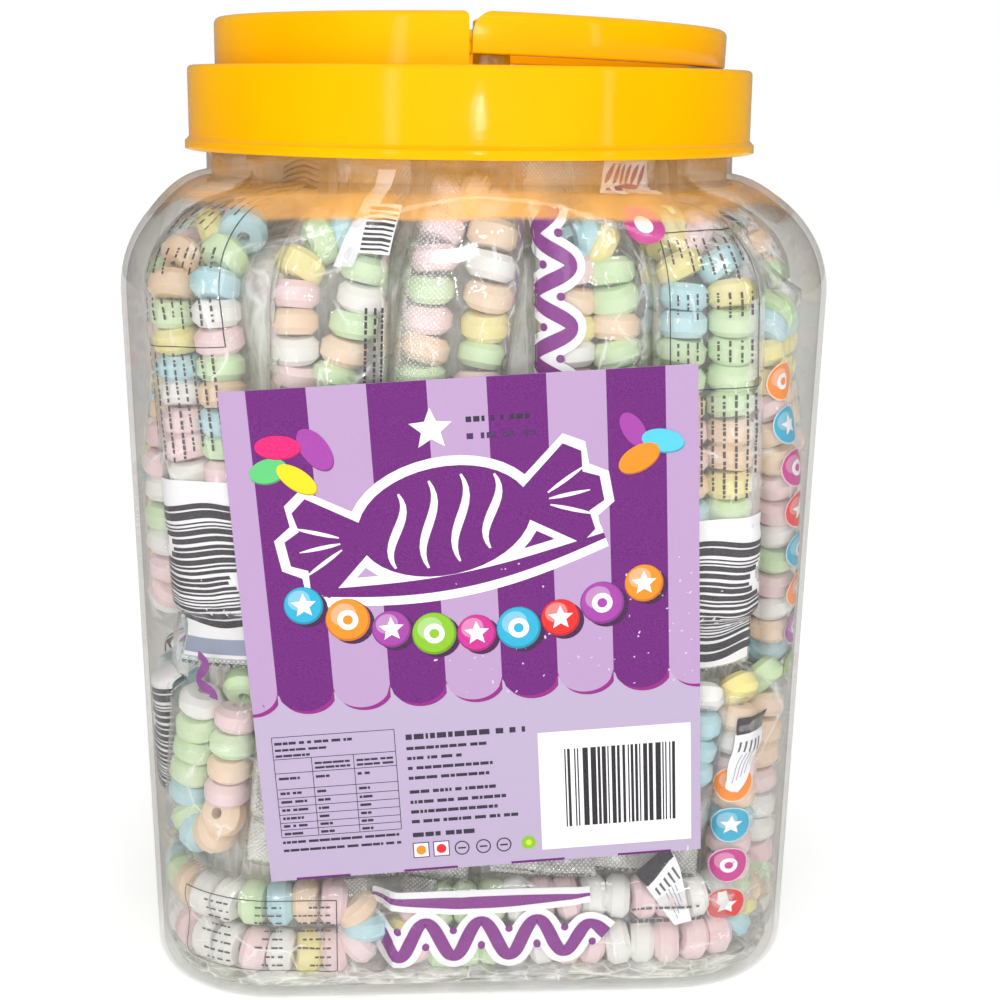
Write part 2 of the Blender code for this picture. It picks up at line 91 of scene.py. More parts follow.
# Lid and handle.
SKIRT_RADIUS = 68.0 * MM
SKIRT_INNER_RADIUS = 65.8 * MM
FLANGE_RADIUS = LID_HIGH.x
LID_BOTTOM = LID_LOW.z
FLANGE_HEIGHT = 2.2 * MM
LEDGE_HEIGHT = 213.8 * MM
RECESS_HEIGHT = 212.0 * MM
RIM_TOP = LID_HIGH.z
RIM_RADIUS = 61.45 * MM
RIM_INNER_RADIUS = 53.9 * MM
RIM_END_X = -3.2 * MM
HANDLE_END_X = -2.4 * MM
HANDLE_BOTTOM = 216.0 * MM
PIVOT_X = 2.0 * MM
PIVOT_Z = 220.0 * MM
HANDLE_DROOP = math.radians(1.8)
PIN_RADIUS = 1.5 * MM
POST_GAP = 0.9 * MM
POST_THICKNESS = 3.0 * MM
POST_WIDTH = 8.0 * MM
LID_STEPS = 144
OVERSHOOT = 2.0 * MM
SUNK = 0.6 * MM

# Wrapped necklaces. Within a wrap, u runs along it, v across it and heights outward.
STRAND_BEADS = 12
BEND_TURN = math.radians(45)
SIDE_INSET = 3.5 * MM
LOWEST_FILM = 1.6 * MM
TUCK_START = 72.0 * MM
TUCK_END = 80.0 * MM
TUCK_DEPTH = 12.5 * MM
SIDE_START = 66.0 * MM
SIDE_BLEND = 22.0 * MM
SIDE_GAP_START = 122.0 * MM
SIDE_GAP_BLEND = 26.0 * MM
CORE_TOP = 196.0 * MM
TIERS = ("upper", "lower", "lying")
UPPER_START = -4.5 * MM
LOWER_START = -63.3 * MM
LYING_START = -76.0 * MM
ELASTIC_RADIUS = 0.35 * MM
FILM_CLEARANCE = 0.35 * MM
BEAD_CLEARANCE = 0.16 * MM
SEAL_BLEND = 7.0 * MM
TOOTH_DEPTH = 0.45 * MM
PLEAT_PITCH = 3.6 * MM
PLEAT_REACH = 6.0 * MM
STRAIGHT_REACH = 46.0 * MM
BACK_BULGE = 3.2 * MM
CREASES = 22
FILM_ROWS = 67
CRIMP_ROWS = 6
FRONT_LANES = 31
BACK_LANES = 9
BEAD_SIDES = 14

# Print. The flat artwork is in millimetres; its distances from a surface are in metres.
SWEET_LONG = 19.0
SWEET_SHORT = 12.2
SHEET_ROUND = 54.0
SHEET_CUT = 1.2
RIBBON_WAVES = 4.7
RIBBON_STEPS = 120
LABEL_SEED = 7
PRINT_SEED = 100
LABEL_ROWS = 6
LABEL_COLUMNS = 34
LABEL_BACK = 0.30 * MM
LABEL_STANDOFF = 0.52 * MM
LABEL_INK_STEP = 0.015 * MM
WRAP_INK_LIFT = 0.04 * MM
WRAP_INK_STEP = 0.08 * MM


def srgb(red, green, blue):
    """A linear colour from the 0 to 255 values that a screen shows."""
    parts = []
    for value in (red, green, blue):
        share = value / 255.0
        parts.append(share / 12.92 if share <= 0.04045 else ((share + 0.055) / 1.055) ** 2.4)
    return tuple(parts)


CANDY_COLOURS = {
    "p": srgb(253, 216, 220),
    "w": srgb(252, 250, 246),
    "y": srgb(254, 238, 146),
    "g": srgb(212, 242, 186),
    "o": srgb(254, 218, 182),
    "b": srgb(178, 228, 240),
}
INKS = {
    "white": srgb(244, 243, 245),
    "black": srgb(38, 36, 38),
    "purple": srgb(130, 38, 134),
    "magenta": srgb(200, 42, 140),
    "cyan": srgb(40, 170, 205),
    "orange": srgb(248, 140, 20),
    "red": srgb(226, 40, 34),
    "violet": srgb(160, 62, 160),
    "green": srgb(134, 190, 30),
    "yellow": srgb(255, 212, 10),
    "pink": srgb(240, 24, 110),
    "leaf": srgb(92, 196, 116),
    "sky": srgb(84, 196, 230),
    "steel": srgb(150, 160, 182),
    "grey": srgb(96, 92, 96),
    "soot": srgb(84, 76, 74),
}


# Settings that a user would change


def size(name, description, default):
    """A length setting."""
    return FloatProperty(name=name, description=description, default=default, unit="LENGTH", precision=5)


def tint(name, description, default):
    """A colour setting."""
    return FloatVectorProperty(name=name, description=description, default=default, size=3, min=0, max=1,
                               subtype="COLOR")


def amount(name, description, default):
    """A plain number setting."""
    return FloatProperty(name=name, description=description, default=default, precision=4)


def slant(name, description, default):
    """An angle setting."""
    return FloatProperty(name=name, description=description, default=default, subtype="ANGLE")


def whole(name, description, default):
    """A whole number setting."""
    return IntProperty(name=name, description=description, default=default)


class StageSettings(bpy.types.PropertyGroup):
    """Camera, floor and lights."""

    distance: size("Distance", "How far the camera stands in front of the jar", 437.65 * MM)
    height: size("Height", "How high the camera stands", 208.55 * MM)
    aside: size("Aside", "How far the camera stands to the right", 8.26 * MM)
    pitch: slant("Pitch", "How far the camera looks down", 0.230)
    yaw: slant("Yaw", "How far the jar is turned from the camera", 0.066)
    roll: slant("Roll", "How far the picture leans", 0.0106)
    lens: amount("Lens", "Focal length on a 36 mm sensor", 62.9)
    front_light: amount("Front light", "Brightness of the surroundings in front of the jar", 1.27)
    side_light: amount("Side light", "Brightness of the surroundings at its sides", 0.06)
    back_light: amount("Back light", "Brightness of the surroundings behind it", 0.34)
    top_light: amount("Top light", "Brightness of the surroundings above it", 1.10)
    key_power: amount("Key power", "Watts of the tall soft light at the left", 1.3)
    fill_power: amount("Fill power", "Watts of the tall soft light at the right", 0.6)
    strip_power: amount("Strip power", "Watts of the light above the front", 0.9)
    flash_power: amount("Flash power", "Watts of the small light beside the camera", 0.16)
    floor: tint("Floor", "Colour of the plain floor", srgb(250, 250, 250))


class JarSettings(bpy.types.PropertyGroup):
    """The clear wall."""

    clear: tint("Clear", "Colour that light takes through the wall, face on", (0.992, 0.993, 0.990))
    edge: tint("Edge", "Colour that light takes through the wall, edge on", srgb(206, 203, 198))
    # Colour of the painted glow that stands in for the lid's light on the neck.
    painted_lid_glow: tint("Lid glow", "Colour that the lid lends to the neck", srgb(255, 186, 88))
    gloss: amount("Gloss", "Roughness of the wall's gloss", 0.06)


class LidSettings(bpy.types.PropertyGroup):
    """The screw lid and its carry handle."""

    yellow: tint("Yellow", "Colour of the moulded plastic", srgb(255, 185, 2))
    gloss: amount("Gloss", "Roughness of the plastic", 0.09)
    edge_round: size("Edge rounding", "Radius of the lid's moulded edges", 1.1 * MM)
    rim_round: size("Rim rounding", "Radius of the raised rim's outer edge", 1.6 * MM)


class LabelSettings(bpy.types.PropertyGroup):
    """The printed sheet on the front."""

    width: size("Width", "Width of the label", 100.7 * MM)
    height: size("Height", "Height of the label", 113.9 * MM)
    aside: size("Aside", "Where its middle lies round the jar", -1.7 * MM)
    middle: size("Middle", "How high its middle is", 91.9 * MM)
    turn: slant("Turn", "How askew the label is stuck", 0.0624)
    stripe: size("Stripe", "Width of one awning stripe", 12.55 * MM)
    purple: tint("Purple", "Dark stripes", srgb(104, 20, 114))
    lilac: tint("Lilac", "Pale stripes", srgb(180, 150, 190))
    field: tint("Field", "Colour below the awning", srgb(181, 166, 193))
    shadow: tint("Shadow", "Crescents under the awning", srgb(142, 30, 126))


class PackSettings(bpy.types.PropertyGroup):
    """One wrapped necklace and how they stand in the jar."""

    bead_diameter: size("Bead diameter", "Diameter of a pressed bead", 10.8 * MM)
    bead_thickness: size("Bead thickness", "Thickness of a pressed bead", 6.0 * MM)
    bead_hole: size("Bead hole", "Diameter of the hole through a bead", 2.8 * MM)
    depth: size("Depth", "From the jar's outside to the strands", 7.5 * MM)
    length: size("Length", "Length of the wrap", 118.0 * MM)
    seal: size("Seal", "Length of each crimped end", 8.5 * MM)
    half_width: size("Half width", "Half the width of the wrap", 12.9 * MM)
    crease: size("Crease", "Height of the film's creases", 0.45 * MM)
    standing: whole("Standing", "Packs in each standing tier", 18)
    lying: whole("Lying", "Packs lying round the base", 5)
    seed: whole("Seed", "Seed of the packs and their beads", 20)


class JarSceneSettings(bpy.types.PropertyGroup):
    """Every group of settings together."""

    stage: PointerProperty(type=StageSettings)
    jar: PointerProperty(type=JarSettings)
    lid: PointerProperty(type=LidSettings)
    label: PointerProperty(type=LabelSettings)
    pack: PointerProperty(type=PackSettings)


def settings():
    return bpy.context.scene.candy_jar


# Mesh helpers


ATTRIBUTE_FIELDS = {"FLOAT": "value", "FLOAT_VECTOR": "vector", "FLOAT_COLOR": "color"}


def link_object(name, data):
    """A new object in the scene, at the origin."""
    obj = bpy.data.objects.new(name, data)
    bpy.context.scene.collection.objects.link(obj)
    return obj


def store_on_points(mesh, key, kind, values):
    """Keep a number, vector or colour on every point of a mesh."""
    layer = mesh.attributes.new(key, kind, "POINT")
    layer.data.foreach_set(ATTRIBUTE_FIELDS[kind], np.asarray(values, np.float32).ravel())


def mesh_object(name, vertices, faces, material=None, smooth=True, attributes=None):
    """A mesh object at the origin from arrays of points and faces."""
    mesh = bpy.data.meshes.new(name)
    mesh.from_pydata([tuple(point) for point in vertices], [], [tuple(face) for face in faces])
    mesh.update()
    for key, (kind, values) in (attributes or {}).items():
        store_on_points(mesh, key, kind, values)
    if material:
        mesh.materials.append(material)
    if smooth:
        mesh.shade_smooth()
    return link_object(name, mesh)


def ring_faces(rings, columns):
    """Quads between rings of points that close round."""
    faces = []
    for row in range(rings - 1):
        low = row * columns
        high = low + columns
        for column in range(columns):
            after = (column + 1) % columns
            faces.append((low + column, low + after, high + after, high + column))
    return faces


def capped_rings(rings, columns):
    """Quads between rings of points, with one face across the first ring and one across the last."""
    last = (rings - 1) * columns
    return ring_faces(rings, columns) + [tuple(range(columns)), tuple(range(last, last + columns))]


def joined_parts(parts):
    """One set of arrays from many parts, each of them points, faces and further arrays for the points."""
    faces = []
    start = 0
    for part in parts:
        faces += [tuple(start + index for index in face) for face in part[1]]
        start += len(part[0])
    points, *others = (np.concatenate(arrays) for arrays in zip(*(part[:1] + part[2:] for part in parts)))
    return points, faces, *others


def turned(x, y, angle, centre=(0.0, 0.0)):
    """A flat place turned about the origin and moved to a centre."""
    cosine = math.cos(angle)
    sine = math.sin(angle)
    return centre[0] + x * cosine - y * sine, centre[1] + x * sine + y * cosine


def outward_normals(obj):
    """Turn every face of a closed mesh outwards."""
    bm = bmesh.new()
    bm.from_mesh(obj.data)
    bmesh.ops.recalc_face_normals(bm, faces=bm.faces)
    bm.to_mesh(obj.data)
    bm.free()


def evaluated_copy(obj, name):
    """The object's evaluated mesh as a plain object, with the first one removed."""
    bpy.context.view_layer.update()
    evaluated = obj.evaluated_get(bpy.context.evaluated_depsgraph_get())
    mesh = bpy.data.meshes.new_from_object(evaluated)
    mesh.transform(obj.matrix_world)
    bpy.data.objects.remove(obj, do_unlink=True)
    mesh.name = name
    return link_object(name, mesh)


def finish_piece(obj, body, slot_name, *nodes):
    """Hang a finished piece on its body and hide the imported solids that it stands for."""
    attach(obj, body)
    if nodes:
        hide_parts(*nodes)
    return obj


# The jar's wall as a surface


def wall_flats(z):
    """Half lengths of the front and side flats at heights."""
    share = np.clip(np.asarray(z, float) / SHOULDER_START, 0.0, 1.0)
    half_width = BASE_HALF_WIDTH + (SHOULDER_HALF_WIDTH - BASE_HALF_WIDTH) * share
    half_depth = BASE_HALF_DEPTH + (SHOULDER_HALF_DEPTH - BASE_HALF_DEPTH) * share
    return half_width - CORNER_RADIUS, half_depth - CORNER_RADIUS


MID_FRONT, MID_SIDE = (float(value) for value in wall_flats(SHOULDER_START / 2))
CORNER_ARC = CORNER_RADIUS * math.pi / 2
WALL_ROUND = 4 * (MID_FRONT + MID_SIDE + CORNER_ARC)


def wall_points(s, z, inset):
    """Places on the wall, moved inwards; s runs round from the middle of the front towards +X."""
    s, z, inset = np.broadcast_arrays(np.asarray(s, float), np.asarray(z, float), np.asarray(inset, float))
    flat_x, flat_y = wall_flats(z)
    s = (s + WALL_ROUND / 2) % WALL_ROUND - WALL_ROUND / 2
    turn = np.where(s < 0, -1.0, 1.0)
    run = np.abs(s)
    first = run - MID_FRONT
    second = first - CORNER_ARC - 2 * MID_SIDE
    angle = (np.clip(first, 0, CORNER_ARC) + np.clip(second, 0, CORNER_ARC)) / CORNER_RADIUS
    back = np.clip((second - CORNER_ARC) / MID_FRONT, 0, 1)
    centre_x = flat_x * (np.clip(run / MID_FRONT, 0, 1) - back)
    centre_y = flat_y * (np.clip((first - CORNER_ARC) / MID_SIDE, 0, 2) - 1.0)
    normal = np.stack([turn * np.sin(angle), -np.cos(angle)], -1)
    point = np.stack([turn * centre_x, centre_y], -1) + CORNER_RADIUS * normal
    climb = np.clip((z - SHOULDER_START) / (SHOULDER_RISE - np.maximum(inset, 0)), 0, 1)
    closing = (1 - np.sqrt(1 - climb ** 2))[..., None]
    outward = point / np.linalg.norm(point, axis=-1, keepdims=True)
    point = point + (outward * NECK_RADIUS - point) * closing
    normal = normal + (outward - normal) * closing
    normal = normal / np.linalg.norm(normal, axis=-1, keepdims=True)
    foot = np.clip(1 - z / BASE_FILLET, 0, 1)
    inward = inset + BASE_FILLET * (1 - np.sqrt(1 - foot ** 2))
    point = point - normal * inward[..., None]
    return np.concatenate([point, z[..., None]], -1)


def wall_stations(front_steps, corner_steps, side_steps):
    """Places round the jar: even steps on each flat and each corner."""
    runs = [(2 * MID_FRONT, front_steps), (CORNER_ARC, corner_steps)]
    runs += [(2 * MID_SIDE, side_steps), (CORNER_ARC, corner_steps)]
    places = []
    start = -MID_FRONT
    for length, steps in runs + runs:
        places += [start + length * step / steps for step in range(steps)]
        start += length
    return np.array(places)


def room_table(corner_share):
    """Places round the jar and the room up to them, when corners count for a share of their length."""
    flats = (MID_FRONT, 2 * MID_SIDE, 2 * MID_FRONT, 2 * MID_SIDE, MID_FRONT)
    lengths = np.full(2 * len(flats) - 1, CORNER_ARC)
    lengths[::2] = flats
    shares = np.full(len(lengths), corner_share)
    shares[::2] = 1.0
    return np.cumsum([0.0, *lengths]), np.cumsum([0.0, *(lengths * shares)])


def looked_up(value, given, wanted):
    """A place read as room, or a room as a place, also beyond a whole lap."""
    laps = np.floor(value / given[-1])
    return np.interp(value - laps * given[-1], given, wanted) + laps * wanted[-1]


PLACES, ROOM = room_table(0.85)


# Materials


def new_material(name):
    """A material and its tree, still empty."""
    material = bpy.data.materials.new(name)
    material.use_nodes = True
    material.node_tree.nodes.clear()
    return material, material.node_tree


def add_node(tree, kind, inputs=None, **values):
    """A node with its fields set, and its sockets set to values or wired to other sockets."""
    node = tree.nodes.new(kind)
    for key, value in values.items():
        setattr(node, key, value)
    for key, value in (inputs or {}).items():
        if isinstance(value, bpy.types.NodeSocket):
            tree.links.new(value, node.inputs[key])
        else:
            node.inputs[key].default_value = value
    return node


def finish_material(material, shader):
    """The material with a shader on its output."""
    add_node(material.node_tree, "ShaderNodeOutputMaterial", {"Surface": shader.outputs[0]})
    return material


def one_shader(material, inputs):
    """The material with one all-round shader on its output."""
    return finish_material(material, add_node(material.node_tree, "ShaderNodeBsdfPrincipled", inputs))


def object_place(tree):
    return add_node(tree, "ShaderNodeTexCoord").outputs["Object"]


def noise(tree, scale, detail=3.0, roughness=0.5, vector=None):
    """A noise value on the object's own coordinates; scale is lumps in a metre."""
    where = vector or object_place(tree)
    node = add_node(tree, "ShaderNodeTexNoise",
                    {"Vector": where, "Scale": scale, "Detail": detail, "Roughness": roughness})
    return node.outputs["Fac"]


def math_node(tree, operation, first, second=0.0, clamp=False):
    node = add_node(tree, "ShaderNodeMath", {0: first, 1: second}, operation=operation, use_clamp=clamp)
    return node.outputs[0]


def times(tree, first, second):
    return math_node(tree, "MULTIPLY", first, second)


def plus(tree, first, second, clamp=False):
    return math_node(tree, "ADD", first, second, clamp)


def map_range(tree, value, low, high, to_low=0.0, to_high=1.0):
    node = add_node(tree, "ShaderNodeMapRange",
                    {"Value": value, "From Min": low, "From Max": high, "To Min": to_low, "To Max": to_high})
    return node.outputs["Result"]


def mix_colours(tree, share, first, second):
    """One colour from two; each is a socket or three numbers."""
    ends = [value if isinstance(value, bpy.types.NodeSocket) else (*value, 1.0) for value in (first, second)]
    return add_node(tree, "ShaderNodeMix", {0: share, 6: ends[0], 7: ends[1]}, data_type="RGBA").outputs[2]


def bump(tree, height, distance, strength=1.0, normal=None):
    inputs = {"Height": height, "Distance": distance, "Strength": strength}
    if normal:
        inputs["Normal"] = normal
    return add_node(tree, "ShaderNodeBump", inputs).outputs["Normal"]


def attribute(tree, name):
    return add_node(tree, "ShaderNodeAttribute", attribute_name=name)


def stretched(tree, place, shares):
    """Coordinates with their own share of each axis."""
    return add_node(tree, "ShaderNodeVectorMath", {0: place, 1: shares}, operation="MULTIPLY").outputs[0]


def drifted(tree, place, scale, reach):
    """Coordinates that wander, so that a pattern on them bends."""
    drift = add_node(tree, "ShaderNodeTexNoise", {"Vector": place, "Scale": scale, "Detail": 2.0})
    return add_node(tree, "ShaderNodeVectorMath", {0: drift.outputs["Color"], 1: reach, 2: place},
                    operation="MULTIPLY_ADD").outputs[0]


def crumples(tree, place, scale):
    """Distances to the nearest crumple and to the nearest fold between crumples."""
    cells = {"Vector": place, "Scale": scale}
    crumple = add_node(tree, "ShaderNodeTexVoronoi", cells)
    folds = add_node(tree, "ShaderNodeTexVoronoi", cells, feature="DISTANCE_TO_EDGE")
    return crumple.outputs["Distance"], folds.outputs["Distance"]


def mix_shaders(tree, share, first, second):
    return add_node(tree, "ShaderNodeMixShader", {0: share, 1: first.outputs[0], 2: second.outputs[0]})


def glossy_skin(material, body, normal, roughness, density, strength, tint):
    """A see-through body with a gloss on its outside, and a plain tint for the light that falls through."""
    tree = material.node_tree
    gloss = add_node(tree, "ShaderNodeBsdfAnisotropic",
                     {"Color": (1.0, 1.0, 1.0, 1.0), "Roughness": roughness, "Normal": normal})
    mirror = add_node(tree, "ShaderNodeFresnel", {"IOR": density, "Normal": normal}).outputs[0]
    outside = attribute(tree, "outside").outputs["Fac"]
    share = times(tree, map_range(tree, mirror, *strength), outside)
    seen = mix_shaders(tree, share, body, gloss)
    ray = add_node(tree, "ShaderNodeLightPath").outputs
    falls = math_node(tree, "MAXIMUM", ray["Is Shadow Ray"], ray["Is Diffuse Ray"])
    plain_tint = add_node(tree, "ShaderNodeBsdfTransparent", {"Color": (*tint, 1.0)})
    return finish_material(material, mix_shaders(tree, falls, seen, plain_tint))


def clear_plastic():
    """See-through wall with a grey edge, a gloss and a painted glow of the lid's light at the neck."""
    values = settings().jar
    material, tree = new_material("clear_plastic")
    place = object_place(tree)
    parts = add_node(tree, "ShaderNodeSeparateXYZ", {0: place}).outputs
    height = parts["Z"]
    ripple = noise(tree, 55.0, 2.0)
    normal = bump(tree, ripple, 0.0012, 0.35)
    facing = add_node(tree, "ShaderNodeLayerWeight", {"Blend": 0.22}).outputs["Facing"]
    edge = map_range(tree, facing, 0.10, 0.95)
    edge = times(tree, edge, map_range(tree, height, 0.003, 0.016, 0.30, 1.0))
    passing = mix_colours(tree, edge, values.clear, values.edge)
    # Painted glow: an amber band on the neck that stands in for the lid's light falling through and off the
    # lid.
    uneven = map_range(tree, noise(tree, 30.0, 1.0), 0.0, 1.0, -0.0035, 0.0035)
    drop = times(tree, math_node(tree, "ABSOLUTE", parts["Y"]), 0.07)
    level = math_node(tree, "SUBTRACT", plus(tree, height, uneven), drop)
    band = map_range(tree, level, GLOW_FOOT, GLOW_FOOT + 1.0 * MM)
    above = plus(tree, map_range(tree, level, GLOW_THIN, GLOW_THIN + 1.2 * MM, 1.0, 0.62),
                 map_range(tree, level, GLOW_FULL, GLOW_FULL + 1.4 * MM, 0.0, 0.38))
    patches = map_range(tree, noise(tree, 48.0, 3.0, 0.6), 0.34, 0.60, 0.45, 1.0)
    glow = times(tree, times(tree, band, above), patches)
    flat = stretched(tree, place, (1.0, 1.0, 0.0))
    reach = add_node(tree, "ShaderNodeVectorMath", {0: flat}, operation="LENGTH").outputs["Value"]
    reach = plus(tree, reach, uneven)
    near = map_range(tree, reach, GLOW_REACH, GLOW_REACH + 2.0 * MM, 1.0, 0.0)
    glow = times(tree, glow, near)
    clear = add_node(tree, "ShaderNodeBsdfTransparent", {"Color": passing})
    # The painted glow is a diffuse amber layer mixed into the clear wall.
    painted_lid_light = add_node(tree, "ShaderNodeBsdfDiffuse", {"Color": (*values.painted_lid_glow, 1.0), "Roughness": 0.0})
    through = mix_shaders(tree, times(tree, glow, 0.50), clear, painted_lid_light)
    return glossy_skin(material, through, normal, values.gloss, 1.38, (0.0, 0.4, 0.0, 0.26),
                       (0.95, 0.95, 0.945))


def lid_plastic():
    """Glossy golden plastic with a faint moulded unevenness."""
    values = settings().lid
    material, tree = new_material("lid_plastic")
    cloud = noise(tree, 22.0, 3.0)
    deep = tuple(part * share for part, share in zip(values.yellow, (0.97, 0.88, 0.6)))
    colour = mix_colours(tree, map_range(tree, cloud, 0.35, 0.70), values.yellow, deep)
    grain = noise(tree, 900.0, 3.0)
    normal = bump(tree, grain, 0.00004, 0.5)
    rough = map_range(tree, noise(tree, 60.0, 2.0), 0.3, 0.7, values.gloss - 0.04, values.gloss + 0.05)
    return one_shader(material, {"Base Color": colour, "Roughness": rough, "Normal": normal,
                                 "Specular IOR Level": 0.08})


def candy():
    """Pressed sugar: chalky, faintly speckled, in the bead's own colour."""
    material, tree = new_material("pressed_candy")
    own = attribute(tree, "bead_colour").outputs["Color"]
    speck = map_range(tree, noise(tree, 1500.0, 2.0), 0.60, 0.78)
    colour = mix_colours(tree, times(tree, speck, 0.35), own, srgb(252, 250, 246))
    cloud = map_range(tree, noise(tree, 160.0, 2.0), 0.3, 0.7, 0.0, 0.30)
    colour = mix_colours(tree, cloud, colour, srgb(253, 250, 244))
    normal = bump(tree, noise(tree, 2600.0, 3.0), 0.00006, 0.6)
    return one_shader(material, {"Base Color": colour, "Roughness": 0.62, "Normal": normal})


def thread():
    """White elastic that the beads are threaded on."""
    material, tree = new_material("white_elastic")
    colour = mix_colours(tree, noise(tree, 900.0, 2.0), srgb(235, 232, 226), srgb(250, 250, 248))
    return one_shader(material, {"Base Color": colour, "Roughness": 0.7})


def film():
    """Thin clear wrap: creased gloss, a slight haze, dotted crimped seals, and pale fold lines and streaks
    that are painted highlights mixed with haze.
    """
    material, tree = new_material("clear_wrap")
    place = attribute(tree, "sheet").outputs["Vector"]
    sheet = add_node(tree, "ShaderNodeSeparateXYZ", {0: place}).outputs
    crimp = attribute(tree, "crimp").outputs["Fac"]
    waves = []
    for key in ("X", "Y"):
        turn = times(tree, sheet[key], 2 * math.pi / 0.0011)
        waves.append(math_node(tree, "SINE", turn))
    dots = map_range(tree, times(tree, waves[0], waves[1]), 0.25, 0.65)
    dots = times(tree, dots, crimp)
    bent = drifted(tree, place, 90.0, (0.007, 0.007, 0.0))
    long = stretched(tree, bent, (0.6, 1.0, 1.0))
    crumple, folds = crumples(tree, long, 105.0)
    # Pale lines along the folds: painted highlights, where the creased film also turns faintly white.
    fold = map_range(tree, folds, 0.0, 0.045, 1.0, 0.0)
    broken = map_range(tree, noise(tree, 120.0, 2.0, 0.5, place), 0.50, 0.62)
    fold = times(tree, fold, broken)
    normal = bump(tree, crumple, 0.0022, 0.75)
    normal = bump(tree, noise(tree, 330.0, 1.0, 0.6, place), 0.0008, 0.5, normal)
    normal = bump(tree, dots, 0.0003, 0.15, normal)
    # Pale streaks: partly haze, partly painted glare.
    streak_haze_and_glare = map_range(tree, noise(tree, 70.0, 3.0, 0.7, long), 0.54, 0.74, 0.0, 0.20)
    share = plus(tree, times(tree, dots, 0.46), streak_haze_and_glare)
    share = plus(tree, share, times(tree, crimp, 0.10))
    share = plus(tree, share, times(tree, fold, 0.42))
    share = plus(tree, share, 0.075, clamp=True)
    through = add_node(tree, "ShaderNodeBsdfTransparent", {"Color": (0.992, 0.992, 0.990, 1.0)})
    # The white body carries the haze and the painted highlights of the folds and streaks.
    haze_and_painted_highlight = add_node(tree, "ShaderNodeBsdfPrincipled",
                     {"Base Color": (0.97, 0.97, 0.96, 1.0), "Roughness": 0.35, "Normal": normal})
    body = mix_shaders(tree, share, through, haze_and_painted_highlight)
    return glossy_skin(material, body, normal, 0.07, 1.45, (0.02, 0.5, 0.035, 0.45), (0.80, 0.80, 0.793))


def ink(name, roughness, speckle, gloss):
    """Print in the colour stored on each point, with a fine press grain."""
    material, tree = new_material(name)
    own = attribute(tree, "ink").outputs["Color"]
    grain = map_range(tree, noise(tree, 5200.0, 2.0), 0.30, 0.70, 0.0, speckle)
    colour = mix_colours(tree, grain, own, srgb(236, 226, 240))
    normal = bump(tree, noise(tree, 120.0, 4.0), 0.0006, 0.35)
    return one_shader(material, {"Base Color": colour, "Roughness": roughness, "Normal": normal,
                                 "Specular IOR Level": gloss})


def heap_middle():
    """Crumpled clear wrap over blurred packs, behind the ones that show."""
    material, tree = new_material("packs_behind")
    place = object_place(tree)
    cells = add_node(tree, "ShaderNodeTexVoronoi", {"Vector": place, "Scale": 95.0, "Randomness": 0.9})
    soft = add_node(tree, "ShaderNodeHueSaturation",
                    {"Color": cells.outputs["Color"], "Saturation": 0.30, "Value": 1.0})
    parts = add_node(tree, "ShaderNodeSeparateXYZ", {0: place}).outputs
    drawn = times(tree, parts["Z"], map_range(tree, parts["Z"], 0.010, 0.014, 4.0, 0.30))
    long = add_node(tree, "ShaderNodeCombineXYZ", {0: parts["X"], 1: parts["Y"], 2: drawn}).outputs[0]
    bent = drifted(tree, long, 80.0, (0.010, 0.010, 0.006))
    crumple, folds = crumples(tree, bent, 130.0)
    grey = map_range(tree, noise(tree, 150.0, 5.0, 0.7, bent), 0.36, 0.62)
    base = mix_colours(tree, grey, srgb(160, 155, 145), srgb(246, 244, 238))
    # Pale lines along the folds are painted highlights of the crumpled wrap.
    base = mix_colours(tree, map_range(tree, folds, 0.0, 0.06, 0.8, 0.0), base, srgb(255, 255, 252))
    colour = mix_colours(tree, 0.14, base, soft.outputs[0])
    # Lighter and pinker towards the top: blurred pink packs, and painted light that lifts the shade under the
    # lid.
    pink_packs_and_painted_light = map_range(tree, parts["Z"], 0.176, 0.182, 0.0, 0.55)
    colour = mix_colours(tree, pink_packs_and_painted_light, colour, srgb(255, 226, 212))
    normal = bump(tree, crumple, 0.003, 0.7)
    return one_shader(material, {"Base Color": colour, "Roughness": 0.22, "Normal": normal})


# Jar


def jar_levels():
    """Heights of the wall's rings from the base to the neck's top."""
    fillet = [BASE_FILLET * (1 - math.cos(math.radians(90) * step / 8)) for step in range(9)]
    body = [BASE_FILLET + (SHOULDER_START - BASE_FILLET) * step / 14 for step in range(1, 15)]
    climb = [math.sin(math.radians(90) * step / 16) for step in range(1, 17)]
    shoulder = [SHOULDER_START + SHOULDER_RISE * share for share in climb]
    return [(z, 0.0) for z in fillet + body + shoulder]


def thread_levels():
    """The ridge that the lid screws down on."""
    top = THREAD_LOW + THREAD_HEIGHT
    ridge = [(THREAD_LOW, 0.0), (THREAD_LOW + 0.6 * MM, 0.7 * THREAD_PROUD)]
    ridge += [(THREAD_LOW + 1.0 * MM, THREAD_PROUD), (top - 1.0 * MM, THREAD_PROUD)]
    ridge += [(top - 0.6 * MM, 0.7 * THREAD_PROUD), (top, 0.0), (NECK_TOP, 0.0)]
    return [(z, -proud) for z, proud in ridge]


def push_up(places, share, lift):
    """A ring of the raised base."""
    return wall_points(places, 0.0, PUSH_UP_INSET * (2 - share)) + (0, 0, lift + PUSH_UP_RISE * (1 - share))


